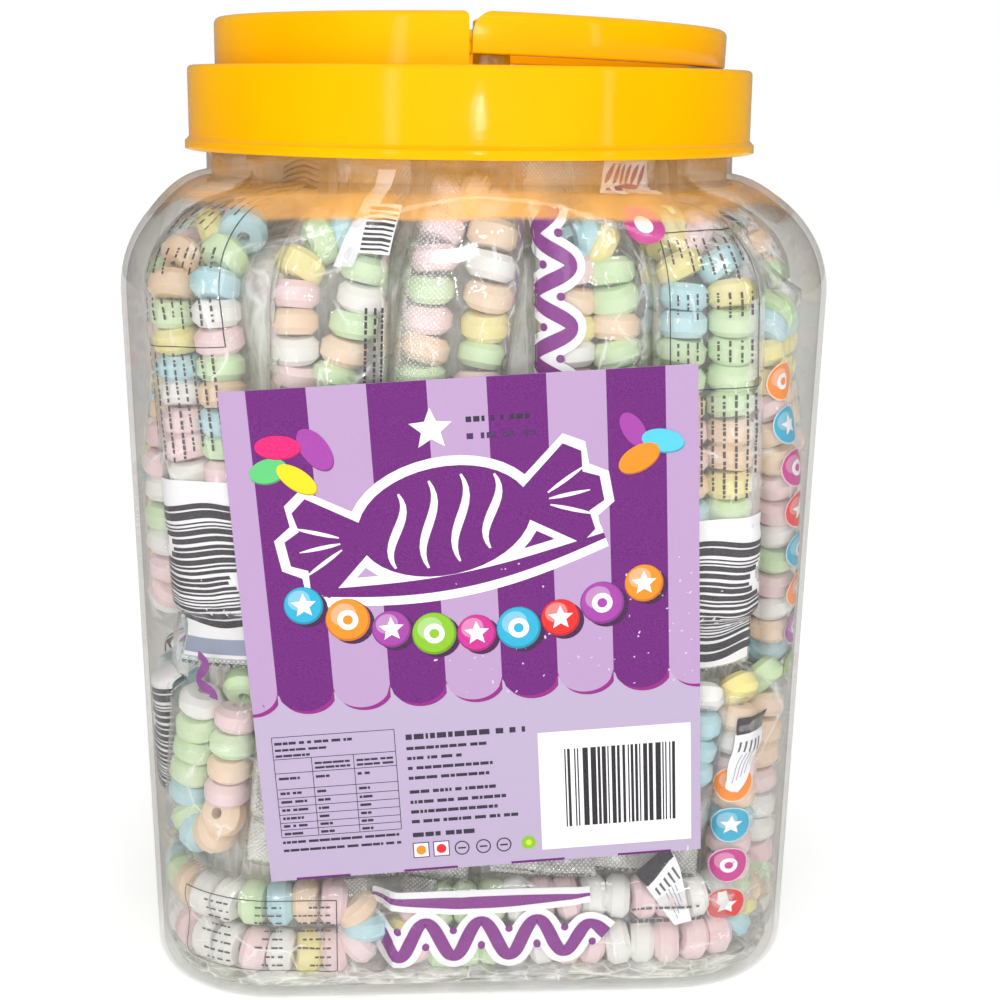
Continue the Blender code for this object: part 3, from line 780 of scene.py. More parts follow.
def make_jar():
    """The clear wall with its real thickness, a push-up in the base and a thread on the neck."""
    places = wall_stations(20, 18, 16)
    levels = jar_levels() + thread_levels()
    shares = (0.25, 0.75, 1.0)
    rings = [push_up(places, share, 0.0) for share in shares]
    rings += [wall_points(places, z, inset) for z, inset in levels]
    outside = len(rings)
    for z, inset in reversed(levels):
        inner_z = max(z, JAR_WALL) if z < BASE_FILLET else z
        rings.append(wall_points(places, inner_z, max(inset, 0.0) + JAR_WALL))
    rings += [push_up(places, share, JAR_WALL) for share in reversed(shares)]
    faces = capped_rings(len(rings), len(places))
    skin = np.repeat((np.arange(len(rings)) < outside).astype(float), len(places))
    jar = mesh_object("clear_wall", np.concatenate(rings), faces, clear_plastic(),
                      attributes={"outside": ("FLOAT", skin)})
    outward_normals(jar)
    return finish_piece(jar, "tub", "clear_plastic", "jar")


# Lid and handle


def arc(centre, radius, start, end, steps=6):
    """Points on an arc, angles in degrees."""
    points = []
    for step in range(steps + 1):
        angle = math.radians(start + (end - start) * step / steps)
        points.append((centre[0] + radius * math.cos(angle), centre[1] + radius * math.sin(angle)))
    return points


def turned_object(name, profile, closed=False):
    """Turn a profile of radius and height once round the Z axis."""
    mesh = bpy.data.meshes.new(name)
    edges = [(index, index + 1) for index in range(len(profile) - 1)]
    if closed:
        edges.append((len(profile) - 1, 0))
    mesh.from_pydata([(radius, 0.0, height) for radius, height in profile], edges, [])
    obj = link_object(name, mesh)
    screw = obj.modifiers.new("turn", "SCREW")
    screw.steps = LID_STEPS
    screw.render_steps = LID_STEPS
    screw.use_merge_vertices = True
    screw.merge_threshold = 0.00001
    made = evaluated_copy(obj, name)
    outward_normals(made)
    return made


def rim_profile(bottom):
    """Section of the raised ring, with rounded edges."""
    values = settings().lid
    outer = values.rim_round
    inner = values.edge_round
    foot = 0.5 * MM
    points = arc((RIM_INNER_RADIUS + inner, RIM_TOP - inner), inner, 180, 90)
    points += arc((RIM_RADIUS - outer, RIM_TOP - outer), outer, 90, 0, 8)
    points += arc((RIM_RADIUS - foot, bottom + foot), foot, 0, -90, 3)
    points += arc((RIM_INNER_RADIUS + foot, bottom + foot), foot, -90, -180, 3)
    return points


def side_block(name, outline):
    """A flat outline in XZ stretched across the lid along Y."""
    reach = FLANGE_RADIUS + OVERSHOOT
    count = len(outline)
    vertices = [(x, -reach, z) for x, z in outline] + [(x, reach, z) for x, z in outline]
    faces = [tuple(range(count)), tuple(range(2 * count - 1, count - 1, -1))]
    for index in range(count):
        after = (index + 1) % count
        faces.append((index, after, count + after, count + index))
    block = mesh_object(name, vertices, faces, smooth=False)
    outward_normals(block)
    return block


def post_block(side):
    """A lug on the lid's top that carries one pin of the handle."""
    bottom = RECESS_HEIGHT - SUNK
    top = RIM_TOP - 1.5 * MM
    middle = side * (RIM_INNER_RADIUS - POST_GAP - POST_THICKNESS / 2)
    bm = bmesh.new()
    bmesh.ops.create_cube(bm, size=1.0)
    bmesh.ops.scale(bm, vec=(POST_WIDTH, POST_THICKNESS, top - bottom), verts=bm.verts)
    bmesh.ops.bevel(bm, geom=bm.edges[:], offset=0.6 * MM, segments=3, affect="EDGES", profile=0.5)
    bmesh.ops.translate(bm, vec=(PIVOT_X, middle, (top + bottom) / 2), verts=bm.verts)
    return bmesh_object(f"post_{side}", bm)


def pin_block(side, radius, inner, outer):
    """A pin along Y on the handle's axis."""
    bm = bmesh.new()
    turn = Matrix.Rotation(math.radians(90), 3, "X")
    bmesh.ops.create_cone(bm, cap_ends=True, segments=32, radius1=radius, radius2=radius, depth=outer - inner)
    bmesh.ops.rotate(bm, cent=(0, 0, 0), matrix=turn, verts=bm.verts)
    bmesh.ops.translate(bm, vec=(PIVOT_X, side * (inner + outer) / 2, PIVOT_Z), verts=bm.verts)
    return bmesh_object(f"pin_{side}", bm)


def bmesh_object(name, bm):
    bmesh.ops.recalc_face_normals(bm, faces=bm.faces)
    mesh = bpy.data.meshes.new(name)
    bm.to_mesh(mesh)
    bm.free()
    return link_object(name, mesh)


def carve(obj, operation, other):
    """Join, cut or keep what is common with another closed mesh, which is then removed."""
    modifier = obj.modifiers.new(operation.lower(), "BOOLEAN")
    modifier.operation = operation
    modifier.object = other
    modifier.solver = "EXACT"
    made = evaluated_copy(obj, obj.name)
    bpy.data.objects.remove(other, do_unlink=True)
    return made


def smooth_edges(obj, degrees=38.0):
    obj.data.shade_smooth()
    obj.data.set_sharp_from_angle(angle=math.radians(degrees))


def finish_plastic(obj, body, node):
    """The lid or handle with its plastic and crisp edges, hung on its body."""
    obj.data.materials.clear()
    obj.data.materials.append(lid_plastic())
    smooth_edges(obj)
    return finish_piece(obj, body, "lid_plastic", node)


def lid_section():
    """Half section of the cap from its middle round the skirt and back inside."""
    rounding = settings().lid.edge_round
    inner = RIM_INNER_RADIUS - SUNK
    under = NECK_TOP + 0.3 * MM
    lip = 0.35 * MM
    points = [(0.0, RECESS_HEIGHT), (inner - 1.4 * MM, RECESS_HEIGHT)]
    points += arc((inner - 1.4 * MM, RECESS_HEIGHT + 1.0 * MM), 1.0 * MM, -90, -10, 4)
    points += [(inner, LEDGE_HEIGHT)]
    points += arc((SKIRT_RADIUS - rounding, LEDGE_HEIGHT - rounding), rounding, 90, 0, 8)
    points += [(SKIRT_RADIUS, LID_BOTTOM + FLANGE_HEIGHT + 0.8 * MM)]
    points += arc((FLANGE_RADIUS - lip, LID_BOTTOM + FLANGE_HEIGHT - lip), lip, 80, 0, 4)
    points += arc((FLANGE_RADIUS - lip, LID_BOTTOM + lip), lip, 0, -90, 4)
    points += [(SKIRT_INNER_RADIUS, LID_BOTTOM), (SKIRT_INNER_RADIUS, under), (0.0, under)]
    return points


def make_lid():
    """The screw cap with its recessed top, fixed half rim and two pierced lugs."""
    lid = turned_object("screw_lid", lid_section())
    rim = turned_object("fixed_rim", rim_profile(LEDGE_HEIGHT - SUNK), closed=True)
    far = -(FLANGE_RADIUS + OVERSHOOT)
    low = LEDGE_HEIGHT - OVERSHOOT
    corner = 1.3 * MM
    outline = [(far, low), (RIM_END_X, low)]
    outline += arc((RIM_END_X - corner, RIM_TOP - corner + 0.01 * MM), corner, 0, 90, 6)
    outline += [(far, RIM_TOP + 0.01 * MM)]
    rim = carve(rim, "INTERSECT", side_block("rim_side", outline))
    lid = carve(lid, "UNION", rim)
    inner = RIM_INNER_RADIUS - POST_GAP - POST_THICKNESS - OVERSHOOT
    outer = RIM_INNER_RADIUS - SUNK / 2
    for side in (-1, 1):
        lid = carve(lid, "UNION", post_block(side))
    for side in (-1, 1):
        lid = carve(lid, "DIFFERENCE", pin_block(side, PIN_RADIUS + 0.4 * MM, inner, outer))
    return finish_plastic(lid, "tub", "lid")


def make_handle():
    """The half ring that lifts as a carry handle, drooping a little onto the lid's ledge."""
    handle = turned_object("carry_handle", rim_profile(HANDLE_BOTTOM), closed=True)
    far = FLANGE_RADIUS + OVERSHOOT
    low = HANDLE_BOTTOM - OVERSHOOT
    top = RIM_TOP + 0.01 * MM
    outline = [(far, top)]
    for step in range(11):
        angle = math.radians(90 + 90 * step / 10)
        outline.append((PIVOT_X + (PIVOT_X - HANDLE_END_X) * math.cos(angle),
                        PIVOT_Z + (top - PIVOT_Z) * math.sin(angle)))
    outline += [(HANDLE_END_X, low), (far, low)]
    handle = carve(handle, "INTERSECT", side_block("handle_side", outline))
    inner = RIM_INNER_RADIUS - POST_GAP - POST_THICKNESS - 0.8 * MM
    outer = RIM_INNER_RADIUS + 1.5 * MM
    for side in (-1, 1):
        handle = carve(handle, "UNION", pin_block(side, PIN_RADIUS, inner, outer))
    pivot = Vector((PIVOT_X, 0.0, PIVOT_Z))
    droop = Matrix.Translation(pivot) @ Matrix.Rotation(HANDLE_DROOP, 4, "Y") @ Matrix.Translation(-pivot)
    handle.data.transform(droop)
    return finish_plastic(handle, "handle", "handle")


# Flat print: polygons with a colour and a layer, cut fine enough to bend


def lighter(name, share):
    """An ink mixed with white."""
    return tuple(part + (1 - part) * share for part in INKS[name])


def darker(name, share):
    """An ink with a share of its light."""
    return tuple(part * share for part in INKS[name])


class Print:
    """Flat polygons in millimetres, kept until they are laid on a surface."""

    def __init__(self):
        self.bm = bmesh.new()
        self.layer = self.bm.verts.layers.float.new("layer")
        self.colour = self.bm.verts.layers.float_color.new("ink")

    def polygon(self, points, colour, layer=1.0):
        """A polygon in a colour or in an ink's name; higher layers lie on top."""
        shown = INKS[colour] if isinstance(colour, str) else colour
        verts = []
        for x, y in points:
            vert = self.bm.verts.new((x, y, 0.0))
            vert[self.layer] = layer
            vert[self.colour] = (*shown, 1.0)
            verts.append(vert)
        face = self.bm.faces.new(verts)
        face.normal_update()
        if face.normal.z < 0:
            face.normal_flip()

    def box(self, left, bottom, right, top, colour, layer=1.0):
        self.polygon([(left, bottom), (right, bottom), (right, top), (left, top)], colour, layer)

    def oval(self, x, y, half_long, half_short, turn, colour, layer=1.0, sides=28):
        angles = [2 * math.pi * step / sides for step in range(sides)]
        self.polygon([turned(half_long * math.cos(angle), half_short * math.sin(angle), turn, (x, y))
                      for angle in angles], colour, layer)

    def disc(self, x, y, radius, colour, layer=1.0, sides=28):
        self.oval(x, y, radius, radius, 0.0, colour, layer, sides)

    def star(self, x, y, radius, colour, layer=1.0):
        """A plain star with five points."""
        outline = []
        for step in range(10):
            reach = radius if step % 2 == 0 else 0.45 * radius
            outline.append(turned(reach, 0.0, math.pi / 2 + math.pi * step / 5, (x, y)))
        self.polygon(outline, colour, layer)

    def stroke(self, path, widths, colour, layer=1.0):
        """A band of changing width along a path of points."""
        left = []
        right = []
        for index, (x, y) in enumerate(path):
            before = path[max(index - 1, 0)]
            after = path[min(index + 1, len(path) - 1)]
            along = Vector((after[0] - before[0], after[1] - before[1])).normalized()
            half = widths[index] / 2
            left.append((x - along.y * half, y + along.x * half))
            right.append((x + along.y * half, y - along.x * half))
        for index in range(len(path) - 1):
            self.polygon([right[index], right[index + 1], left[index + 1], left[index]], colour, layer)

    def dashes(self, left, right, y, height, colour, draw, layer=1.0, weight=1.0):
        """A line of small print as plain dashes of uneven length."""
        x = left
        while x < right - 0.5:
            dash = min(draw.uniform(0.5, 2.6), right - x)
            tall = height * (0.50 + 0.12 * weight)
            self.box(x, y + 0.1 * height, x + dash, y + 0.1 * height + tall, colour, layer)
            x += dash + draw.choice((0.22, 0.22, 0.7)) * height

    def cut(self, step_x, step_y):
        """Cut every polygon along a grid, so that it can follow a curved surface."""
        xs = [vert.co.x for vert in self.bm.verts]
        ys = [vert.co.y for vert in self.bm.verts]
        for spread, step, normal in ((xs, step_x, Vector((1, 0, 0))), (ys, step_y, Vector((0, 1, 0)))):
            high = max(spread)
            at = math.ceil(min(spread) / step) * step
            while at < high:
                geometry = self.bm.verts[:] + self.bm.edges[:] + self.bm.faces[:]
                bmesh.ops.bisect_plane(self.bm, geom=geometry, dist=1e-5, plane_co=normal * at,
                                       plane_no=normal)
                at += step

    def arrays(self):
        """Points, layers, colours and faces as plain arrays."""
        bmesh.ops.triangulate(self.bm, faces=[face for face in self.bm.faces if len(face.verts) > 4])
        self.bm.verts.index_update()
        flat = np.array([(vert.co.x, vert.co.y) for vert in self.bm.verts])
        layers = np.array([vert[self.layer] for vert in self.bm.verts])
        colours = np.array([tuple(vert[self.colour]) for vert in self.bm.verts])
        faces = [tuple(vert.index for vert in face.verts) for face in self.bm.faces]
        self.bm.free()
        return flat, layers, colours, faces


# Label


def awning(sheet, values):
    """Striped awning with a scalloped edge over the pale field."""
    width = values.width / MM
    height = values.height / MM
    stripe = values.stripe / MM
    straight = 45.8
    drop = 5.0
    sheet.box(0.0, 0.0, width, height, values.field, 0.0)
    first = 5.9 - stripe
    for index in range(9):
        left = first + index * stripe
        right = left + stripe
        start = max(left, 0.0)
        end = min(right, width)
        cloth = values.purple if index % 2 else values.lilac
        for layer, colour, shift_x, shift_y in ((1.0, values.shadow, 0.7, -0.75), (2.0, cloth, 0.0, 0.0)):
            middle = (left + right) / 2 + shift_x
            edge = []
            for step in range(17):
                x = start + (end - start) * step / 16
                reach = min(abs((x - middle) / (stripe / 2)), 1.0)
                depth = drop * math.sqrt(1 - reach ** 2)
                edge.append((x, straight + shift_y - depth))
            top = height if layer == 2.0 else straight + 1.0
            sheet.polygon([(end, top), (start, top)] + edge, colour, layer)
    for index in range(4):
        left = first + (2 * index + 1) * stripe
        sheet.box(left, 0.0, left + stripe, 0.55, values.purple, 1.0)


def sweet(sheet, centre, turn, colour, grow, layer):
    """A wrapped sweet as three plain shapes: two fanned twists and a plump middle."""
    fan = ((-3.0, -2.2), (9.0, -11.5), (12.5, -9.0), (12.0, -4.6), (15.6, -3.0), (15.6, 2.6), (12.2, 4.4),
           (12.8, 9.0), (9.2, 11.5), (-3.0, 2.2))
    middle = Vector((SWEET_LONG + 7.0, 0.0))
    for side in (1, -1):
        grown = []
        for x, y in fan:
            away = (Vector((SWEET_LONG + x, y)) - middle).normalized() * grow
            grown.append(turned(side * (SWEET_LONG + x + away.x), side * (y + away.y), turn, centre))
        sheet.polygon(grown, colour, layer)
    sheet.oval(*centre, SWEET_LONG + grow, SWEET_SHORT + grow, turn, colour, layer + 0.2, 40)


def sweet_motif(sheet, values):
    """White-edged purple sweet with swirl bands and a swash below."""
    centre = (45.5, 82.5)
    turn = math.radians(9)
    swash = []
    widths = []
    for step in range(25):
        share = step / 24
        swash.append((18.0 + 62.0 * share, 68.0 + 9.0 * share - 3.6 * math.sin(math.pi * share)))
        widths.append(3.4 * math.sin(math.pi * (0.12 + 0.80 * share)) ** 0.7)
    sheet.stroke(swash, [width + 4.0 for width in widths], "white", 3.0)
    sweet(sheet, centre, turn, "white", 2.2, 3.2)
    sheet.stroke(swash, widths, values.purple, 3.6)
    sweet(sheet, centre, turn, values.purple, 0.0, 3.8)
    thick = [1.9 * math.sin(math.pi * (0.08 + 0.84 * step / 12)) for step in range(13)]
    for offset in (-10.5, -3.5, 3.5, 10.5):
        half = math.sqrt(max(1 - (offset / SWEET_LONG) ** 2, 0.0)) * SWEET_SHORT * 0.80
        ups = [-1.0 + step / 6 for step in range(13)]
        band = [turned(offset + 2.6 * math.sin(up * 2.2), up * half, turn, centre) for up in ups]
        sheet.stroke(band, thick, "white", 4.4)
    for side in (-1, 1):
        for spread in (-5.6, 0.0, 5.6):
            shares = [step / 4 for step in range(5)]
            crease = [turned(side * (23.0 + 9.0 * share), side * spread * (0.25 + 0.75 * share), turn, centre)
                      for share in shares]
            sheet.stroke(crease, [0.3, 0.8, 0.9, 0.7, 0.2], "white", 4.4)


def garland(sheet):
    """Nine glossy round sweets on a sagging arc, each with a plain white mark."""
    keys = ("cyan", "orange", "violet", "green", "magenta", "cyan", "red", "violet", "orange")
    shade = srgb(66, 24, 70)
    for index, key in enumerate(keys):
        radius = 4.9 if index % 2 else 4.3
        x = 13.6 + 9.35 * index
        sag = (x - 51.0) / 37.4
        y = 56.4 + 9.0 * sag * sag
        sheet.disc(x + 0.95, y - 0.75, radius, shade, 5.0)
        sheet.disc(x, y, radius, darker(key, 0.62), 5.4)
        sheet.disc(x - 0.12, y + 0.2, radius * 0.93, key, 5.6)
        sheet.oval(x - 0.9, y + 1.3, radius * 0.58, radius * 0.52, 0.4, lighter(key, 0.20), 5.8)
        if index % 2:
            sheet.disc(x, y, 2.3, "white", 6.2)
            sheet.disc(x, y, 1.1, key, 6.4)
        else:
            sheet.star(x, y, 2.9, "white", 6.2)


def small_sweets(sheet):
    """Loose flat sweets at both upper corners and a plain star between them."""
    spots = ((19.2, 100.3, 5.2, 2.9, -58, "violet"), (9.0, 96.2, 4.1, 2.6, 14, "leaf"),
             (11.4, 101.3, 4.8, 2.5, -3, "pink"), (14.8, 94.0, 4.8, 2.3, -38, "yellow"),
             (86.7, 100.4, 4.2, 2.3, -60, "violet"), (93.0, 97.6, 4.6, 2.5, -12, "sky"),
             (87.8, 94.0, 4.8, 2.7, 28, "orange"))
    for index, (x, y, long, short, degrees, key) in enumerate(spots):
        turn = math.radians(degrees)
        sheet.oval(x + 0.15, y - 0.35, long, short, turn, darker(key, 0.55), 7.0 + 0.4 * index)
        sheet.oval(x, y, long, short, turn, key, 7.2 + 0.4 * index)
    sheet.star(43.8, 103.1, 4.8, "white", 3.0)


def label_words(sheet, draw):
    """The place of the small print: a ruled table, lines of dashes, marks and a bar panel."""
    black = srgb(46, 40, 58)
    half = 0.08
    sheet.dashes(51.3, 66.0, 104.0, 1.9, black, draw, 3.0, 1.25)
    sheet.dashes(51.3, 66.0, 100.2, 2.3, srgb(74, 40, 92), draw, 3.0, 0.6)
    left, right, low, high = 3.5, 31.1, 10.7, 35.0
    for y in (low, 12.5, 14.2, 16.2, 18.2, 20.2, 22.4, 26.3, 29.7, high):
        sheet.box(left, y - half, right, y + half, black, 1.0)
    for x, top in ((left, high), (right, high), (12.0, 29.7), (21.5, 29.7)):
        sheet.box(x - half, low, x + half, top, black, 1.2)
    for end, y, tall, weight in ((21.5, 33.0, 1.0, 1.4), (16.0, 31.5, 0.9, 1.0), (12.4, 30.1, 0.9, 1.0)):
        sheet.dashes(left + 0.5, end, y, tall, black, draw, 1.4, weight)
    for y in (10.9, 12.8, 14.7, 16.7, 18.7, 20.8, 24.4):
        for start, end in ((4.2, 9.4), (12.6, 15.2), (22.1, 24.7)):
            sheet.dashes(start, end + draw.uniform(-0.6, 0.9), y + 0.2, 0.95, black, draw, 1.4, 1.2)
    for y in (27.9, 26.8):
        sheet.dashes(12.6, 20.6, y, 0.85, black, draw, 1.4)
        sheet.dashes(22.1, 30.4, y, 0.85, black, draw, 1.4)
    for end, y in ((31.0, 9.0), (30.8, 7.0)):
        sheet.dashes(3.6, end, y, 0.95, black, draw, 1.0, 1.4)
    rows = ((32.0, 61.0, 2.0, 1.3), (29.6, 51.8, 1.25, 0.9), (27.2, 46.0, 1.25, 0.9), (24.8, 53.8, 1.25, 0.9),
            (22.4, 53.2, 1.25, 0.9), (19.0, 53.4, 1.2, 1.4), (16.5, 55.8, 1.2, 1.4), (14.1, 53.6, 1.2, 1.4),
            (11.7, 58.7, 1.2, 1.4), (8.2, 48.2, 1.7, 1.2))
    for y, end, tall, weight in rows:
        sheet.dashes(33.6, end, y, tall, black, draw, 1.0, weight)
    for x, key in ((35.3, "orange"), (40.0, "red")):
        sheet.box(x - 1.9, 3.2, x + 1.9, 7.0, srgb(84, 44, 100), 1.0)
        sheet.box(x - 1.65, 3.45, x + 1.65, 6.75, "white", 1.4)
        sheet.disc(x, 5.1, 1.15, key, 1.8)
    for x in (44.8, 49.8, 54.6):
        sheet.disc(x, 4.9, 1.75, black, 1.0)
        sheet.disc(x, 4.9, 1.45, settings().label.field, 1.4)
        sheet.box(x - 0.9, 4.7, x + 0.9, 5.1, black, 1.8)
    sheet.disc(60.4, 5.0, 1.65, "green", 1.0)
    sheet.disc(60.4, 5.0, 0.7, srgb(196, 222, 60), 1.4)
    sheet.box(63.5, 2.9, 98.5, 31.6, "white", 1.0)
    x = 69.4
    while x < 94.6:
        bar = draw.choice((0.32, 0.32, 0.64, 0.95, 1.25))
        sheet.box(x, 8.2, min(x + bar, 94.9), 27.3, srgb(36, 34, 38), 1.6)
        x += bar + draw.choice((0.34, 0.34, 0.6, 0.95))


def scuffs(sheet, draw):
    """Small pale rubs in the ink, most of them low on the right."""
    for _ in range(70):
        x = 99.0 - 58.0 * draw.random() ** 1.6
        y = 42.0 + 30.0 * draw.random() ** 1.3
        size = draw.uniform(0.10, 0.26)
        sheet.oval(x, y, size * draw.uniform(1, 2.2), size, draw.uniform(0, 3), srgb(214, 196, 222), 5.0, 6)


def make_label():
    """The label: a thin sheet with its print in layers on top."""
    values = settings().label
    draw = random.Random(LABEL_SEED)
    sheet = Print()
    awning(sheet, values)
    sweet_motif(sheet, values)
    garland(sheet)
    small_sweets(sheet)
    label_words(sheet, draw)
    scuffs(sheet, draw)
    sheet.cut(3.0, 8.0)
    flat, layers, colours, faces = sheet.arrays()
    middle = (values.aside, values.middle)
    x = flat[:, 0] * MM - values.width / 2
    y = flat[:, 1] * MM - values.height / 2
    s, z = turned(x, y, values.turn, middle)
    points = wall_points(s, z, -(LABEL_STANDOFF + LABEL_INK_STEP * layers))
    material = ink("printed_label", 0.34, 0.05, 0.12)
    front = mesh_object("label_print", points, faces, material, attributes={"ink": ("FLOAT_COLOR", colours)})
    up, over = np.meshgrid(np.arange(LABEL_ROWS + 1) / LABEL_ROWS - 0.5,
                           np.arange(LABEL_COLUMNS + 1) / LABEL_COLUMNS - 0.5, indexing="ij")
    s, z = turned(over.ravel() * values.width, up.ravel() * values.height, values.turn, middle)
    outer = wall_points(s, z, -(LABEL_STANDOFF - 0.03 * MM))
    inner = wall_points(s, z, -LABEL_BACK)
    paper = slab("label_sheet", outer, inner, LABEL_ROWS + 1, LABEL_COLUMNS + 1)
    white = np.tile((*srgb(240, 232, 244), 1.0), (len(paper.data.vertices), 1))
    store_on_points(paper.data, "ink", "FLOAT_COLOR", white)
    paper.data.materials.append(material)
    finish_piece(paper, "tub", "printed_label", "label")
    return finish_piece(front, "tub", "printed_label")


def slab(name, outer, inner, rows, columns):
    """A closed thin sheet between two grids of points."""
    count = rows * columns
    faces = []
    for row in range(rows - 1):
        for column in range(columns - 1):
            corner = row * columns + column
            quad = (corner, corner + 1, corner + columns + 1, corner + columns)
            faces += [quad, tuple(count + index for index in reversed(quad))]
    border = list(range(columns))
    border += [row * columns + columns - 1 for row in range(1, rows)]
    border += [(rows - 1) * columns + column for column in range(columns - 2, -1, -1)]
    border += [row * columns for row in range(rows - 2, 0, -1)]
    faces += [(second, first, count + first, count + second)
              for first, second in zip(border, border[1:] + border[:1])]
    obj = mesh_object(name, np.concatenate([outer, inner]), faces, smooth=False)
    outward_normals(obj)
    return obj


# Wrapped necklaces


def smooth_step(value):
    value = np.clip(value, 0.0, 1.0)
    return value * value * (3 - 2 * value)


class Pack:
    """One wrapped necklace: where it lies on the wall, its strands and the creases of its film."""

    def __init__(self, draw, place, height, lean, tier, left="", right="", show="", roll=0.0, shift=0.0,
                 flip=False, upside=False, gap=None, pitch=None, pinch=(0.0, 0.0), knee=0.0):
        self.place = place
        self.height = height
        self.lean = math.radians(lean)
        self.tier = tier
        self.left = left
        self.right = right
        self.show = show.split()
        self.roll = roll
        self.shift = shift
        self.flip = flip
        self.upside = upside
        self.gap = (gap or draw.uniform(5.2, 6.1)) * MM
        self.pitch = (pitch or draw.uniform(5.95, 6.3)) * MM
        self.pinch = pinch
        self.knee = knee * MM
        self.sway = [(draw.uniform(0.2, 0.75) * MM, draw.uniform(0, 2 * math.pi)) for _ in range(2)]
        self.curl = [draw.uniform(-1.0, 3.0) * MM for _ in range(2)]
        self.wave = draw.uniform(0, 2 * math.pi)
        self.seed = draw.randrange(10 ** 6)
        aside = abs((place + WALL_ROUND / 2) % WALL_ROUND - WALL_ROUND / 2)
        self.inset = SIDE_INSET * smooth_step((aside - SIDE_START) / SIDE_BLEND) if tier == "upper" else 0.0
        self.creases = []
        for _ in range(CREASES):
            self.creases.append((draw.uniform(-50, 50) * MM, draw.uniform(-12, 12) * MM,
                                 draw.uniform(-1.2, 1.2), draw.uniform(4, 16) * MM,
                                 draw.uniform(0.45, 1.1) * MM, draw.choice((1.0, 0.7, -0.8))))

    def tuck(self, z):
        """Extra depth where a lower pack goes behind the pack above it."""
        if self.tier != "lower":
            return 0.0
        return TUCK_DEPTH * smooth_step((z - TUCK_START) / (TUCK_END - TUCK_START))

    def side_gap(self, u):
        """Extra room between a side pack's upper end and the wall."""
        return self.inset * smooth_step((self.height + u - SIDE_GAP_START) / SIDE_GAP_BLEND)

    def world(self, u, v, height):
        """World points from distances along, across and outward."""
        values = settings().pack
        places, room = room_table(1 - values.depth / CORNER_RADIUS)
        aside = u * math.sin(self.lean) + v * math.cos(self.lean)
        s = looked_up(looked_up(self.place, places, room) + aside, room, places)
        z = np.maximum(self.height + u * math.cos(self.lean) - v * math.sin(self.lean), LOWEST_FILM)
        inset = values.depth + self.side_gap(u) - height + self.tuck(z)
        return wall_points(s, z, inset)

    def strand(self, side, u):
        """How far across a strand runs at places along the wrap."""
        values = settings().pack
        swing, phase = self.sway[0 if side < 0 else 1]
        slope = self.pinch[0 if side < 0 else 1]
        across = side * self.gap + slope * np.minimum(u - self.knee, 0.0)
        across = across + swing * np.sin(u / (11.0 * MM) + phase)
        limit = values.half_width - values.bead_diameter / 2 - 0.3 * MM
        return np.clip(across, -limit, limit)

    def film_height(self, u, v):
        """How far the film stands out from the strands' plane."""
        values = settings().pack
        across = np.abs(v)
        seal = values.length / 2 - values.seal
        radius = values.bead_diameter / 2
        outer = np.clip((across - self.gap) / (values.half_width - self.gap), 0, 1)
        sag = 1 - 0.16 * (1 - (across / self.gap) ** 2)
        dome = np.where(across < self.gap, sag, np.sqrt(1 - outer ** 2))
        full = smooth_step((seal - np.abs(u)) / SEAL_BLEND)
        height = (radius + FILM_CLEARANCE) * dome * full
        crease = np.zeros_like(height)
        for along, side, turn, length, width, lift in self.creases:
            x = (u - along) * math.cos(turn) + (v - side) * math.sin(turn)
            y = (v - side) * math.cos(turn) - (u - along) * math.sin(turn)
            crease += lift * np.exp(-(x / length) ** 2) / (1 + (y / width) ** 2)
        pleat = np.cos(2 * math.pi * v / PLEAT_PITCH + self.wave)
        pleat = pleat * np.exp(-np.abs(seal - np.abs(u)) / PLEAT_REACH)
        height = height + values.crease * (crease + pleat) * (0.35 + 0.65 * full)
        for side in (-1, 1):
            away = v - self.strand(side, u)
            beads = np.sqrt(np.maximum(radius ** 2 - away ** 2, 0.0)) + BEAD_CLEARANCE
            height = np.where(np.abs(u) < STRAIGHT_REACH, np.maximum(height, beads), height)
        for along, aside in self.bend_places():
            away = (np.abs(u) - along) ** 2 + (across - aside) ** 2
            beads = np.sqrt(np.maximum((radius + 0.1 * MM) ** 2 - away, 0.0)) + BEAD_CLEARANCE
            height = np.maximum(height, beads)
        past = np.clip((np.abs(u) - seal) / values.seal, 0, 1)
        curl = np.where(u > 0, self.curl[0], self.curl[1])
        height = height + past ** 2 * (curl + 0.7 * MM * np.sin(v / (4.1 * MM) + self.wave))
        return np.minimum(height, values.depth + self.side_gap(u) - JAR_WALL - 0.36 * MM)

    def mesh_height(self, u, v):
        """Height of the film as its mesh has it, straight between the mesh's points."""
        rows = film_rows()
        lanes = film_lanes()
        grid = self.film_height(*np.meshgrid(rows, lanes, indexing="ij"))
        row = np.clip(np.searchsorted(rows, u) - 1, 0, len(rows) - 2)
        lane = np.clip(np.searchsorted(lanes, v) - 1, 0, len(lanes) - 2)
        up = (u - rows[row]) / (rows[row + 1] - rows[row])
        over = (v - lanes[lane]) / (lanes[lane + 1] - lanes[lane])
        low = grid[row, lane] * (1 - over) + grid[row, lane + 1] * over
        high = grid[row + 1, lane] * (1 - over) + grid[row + 1, lane + 1] * over
        return low * (1 - up) + high * up

    def sheet_across(self, u, v):
        """Where a point of the flat sheet lies once the film bulges over the strands."""
        values = settings().pack
        steps = np.linspace(0, values.half_width, 60)
        outer = np.clip((steps - self.gap) / (values.half_width - self.gap), 0, 1)
        rise = (values.bead_diameter / 2 + FILM_CLEARANCE) * np.sqrt(1 - outer ** 2)
        length = np.concatenate([[0.0], np.cumsum(np.hypot(np.diff(steps), np.diff(rise)))])
        bulged = np.sign(v) * np.interp(np.abs(v), length, steps, right=values.half_width + MM)
        full = smooth_step((values.length / 2 - values.seal - np.abs(u)) / SEAL_BLEND)
        return bulged * full + v * (1 - full)

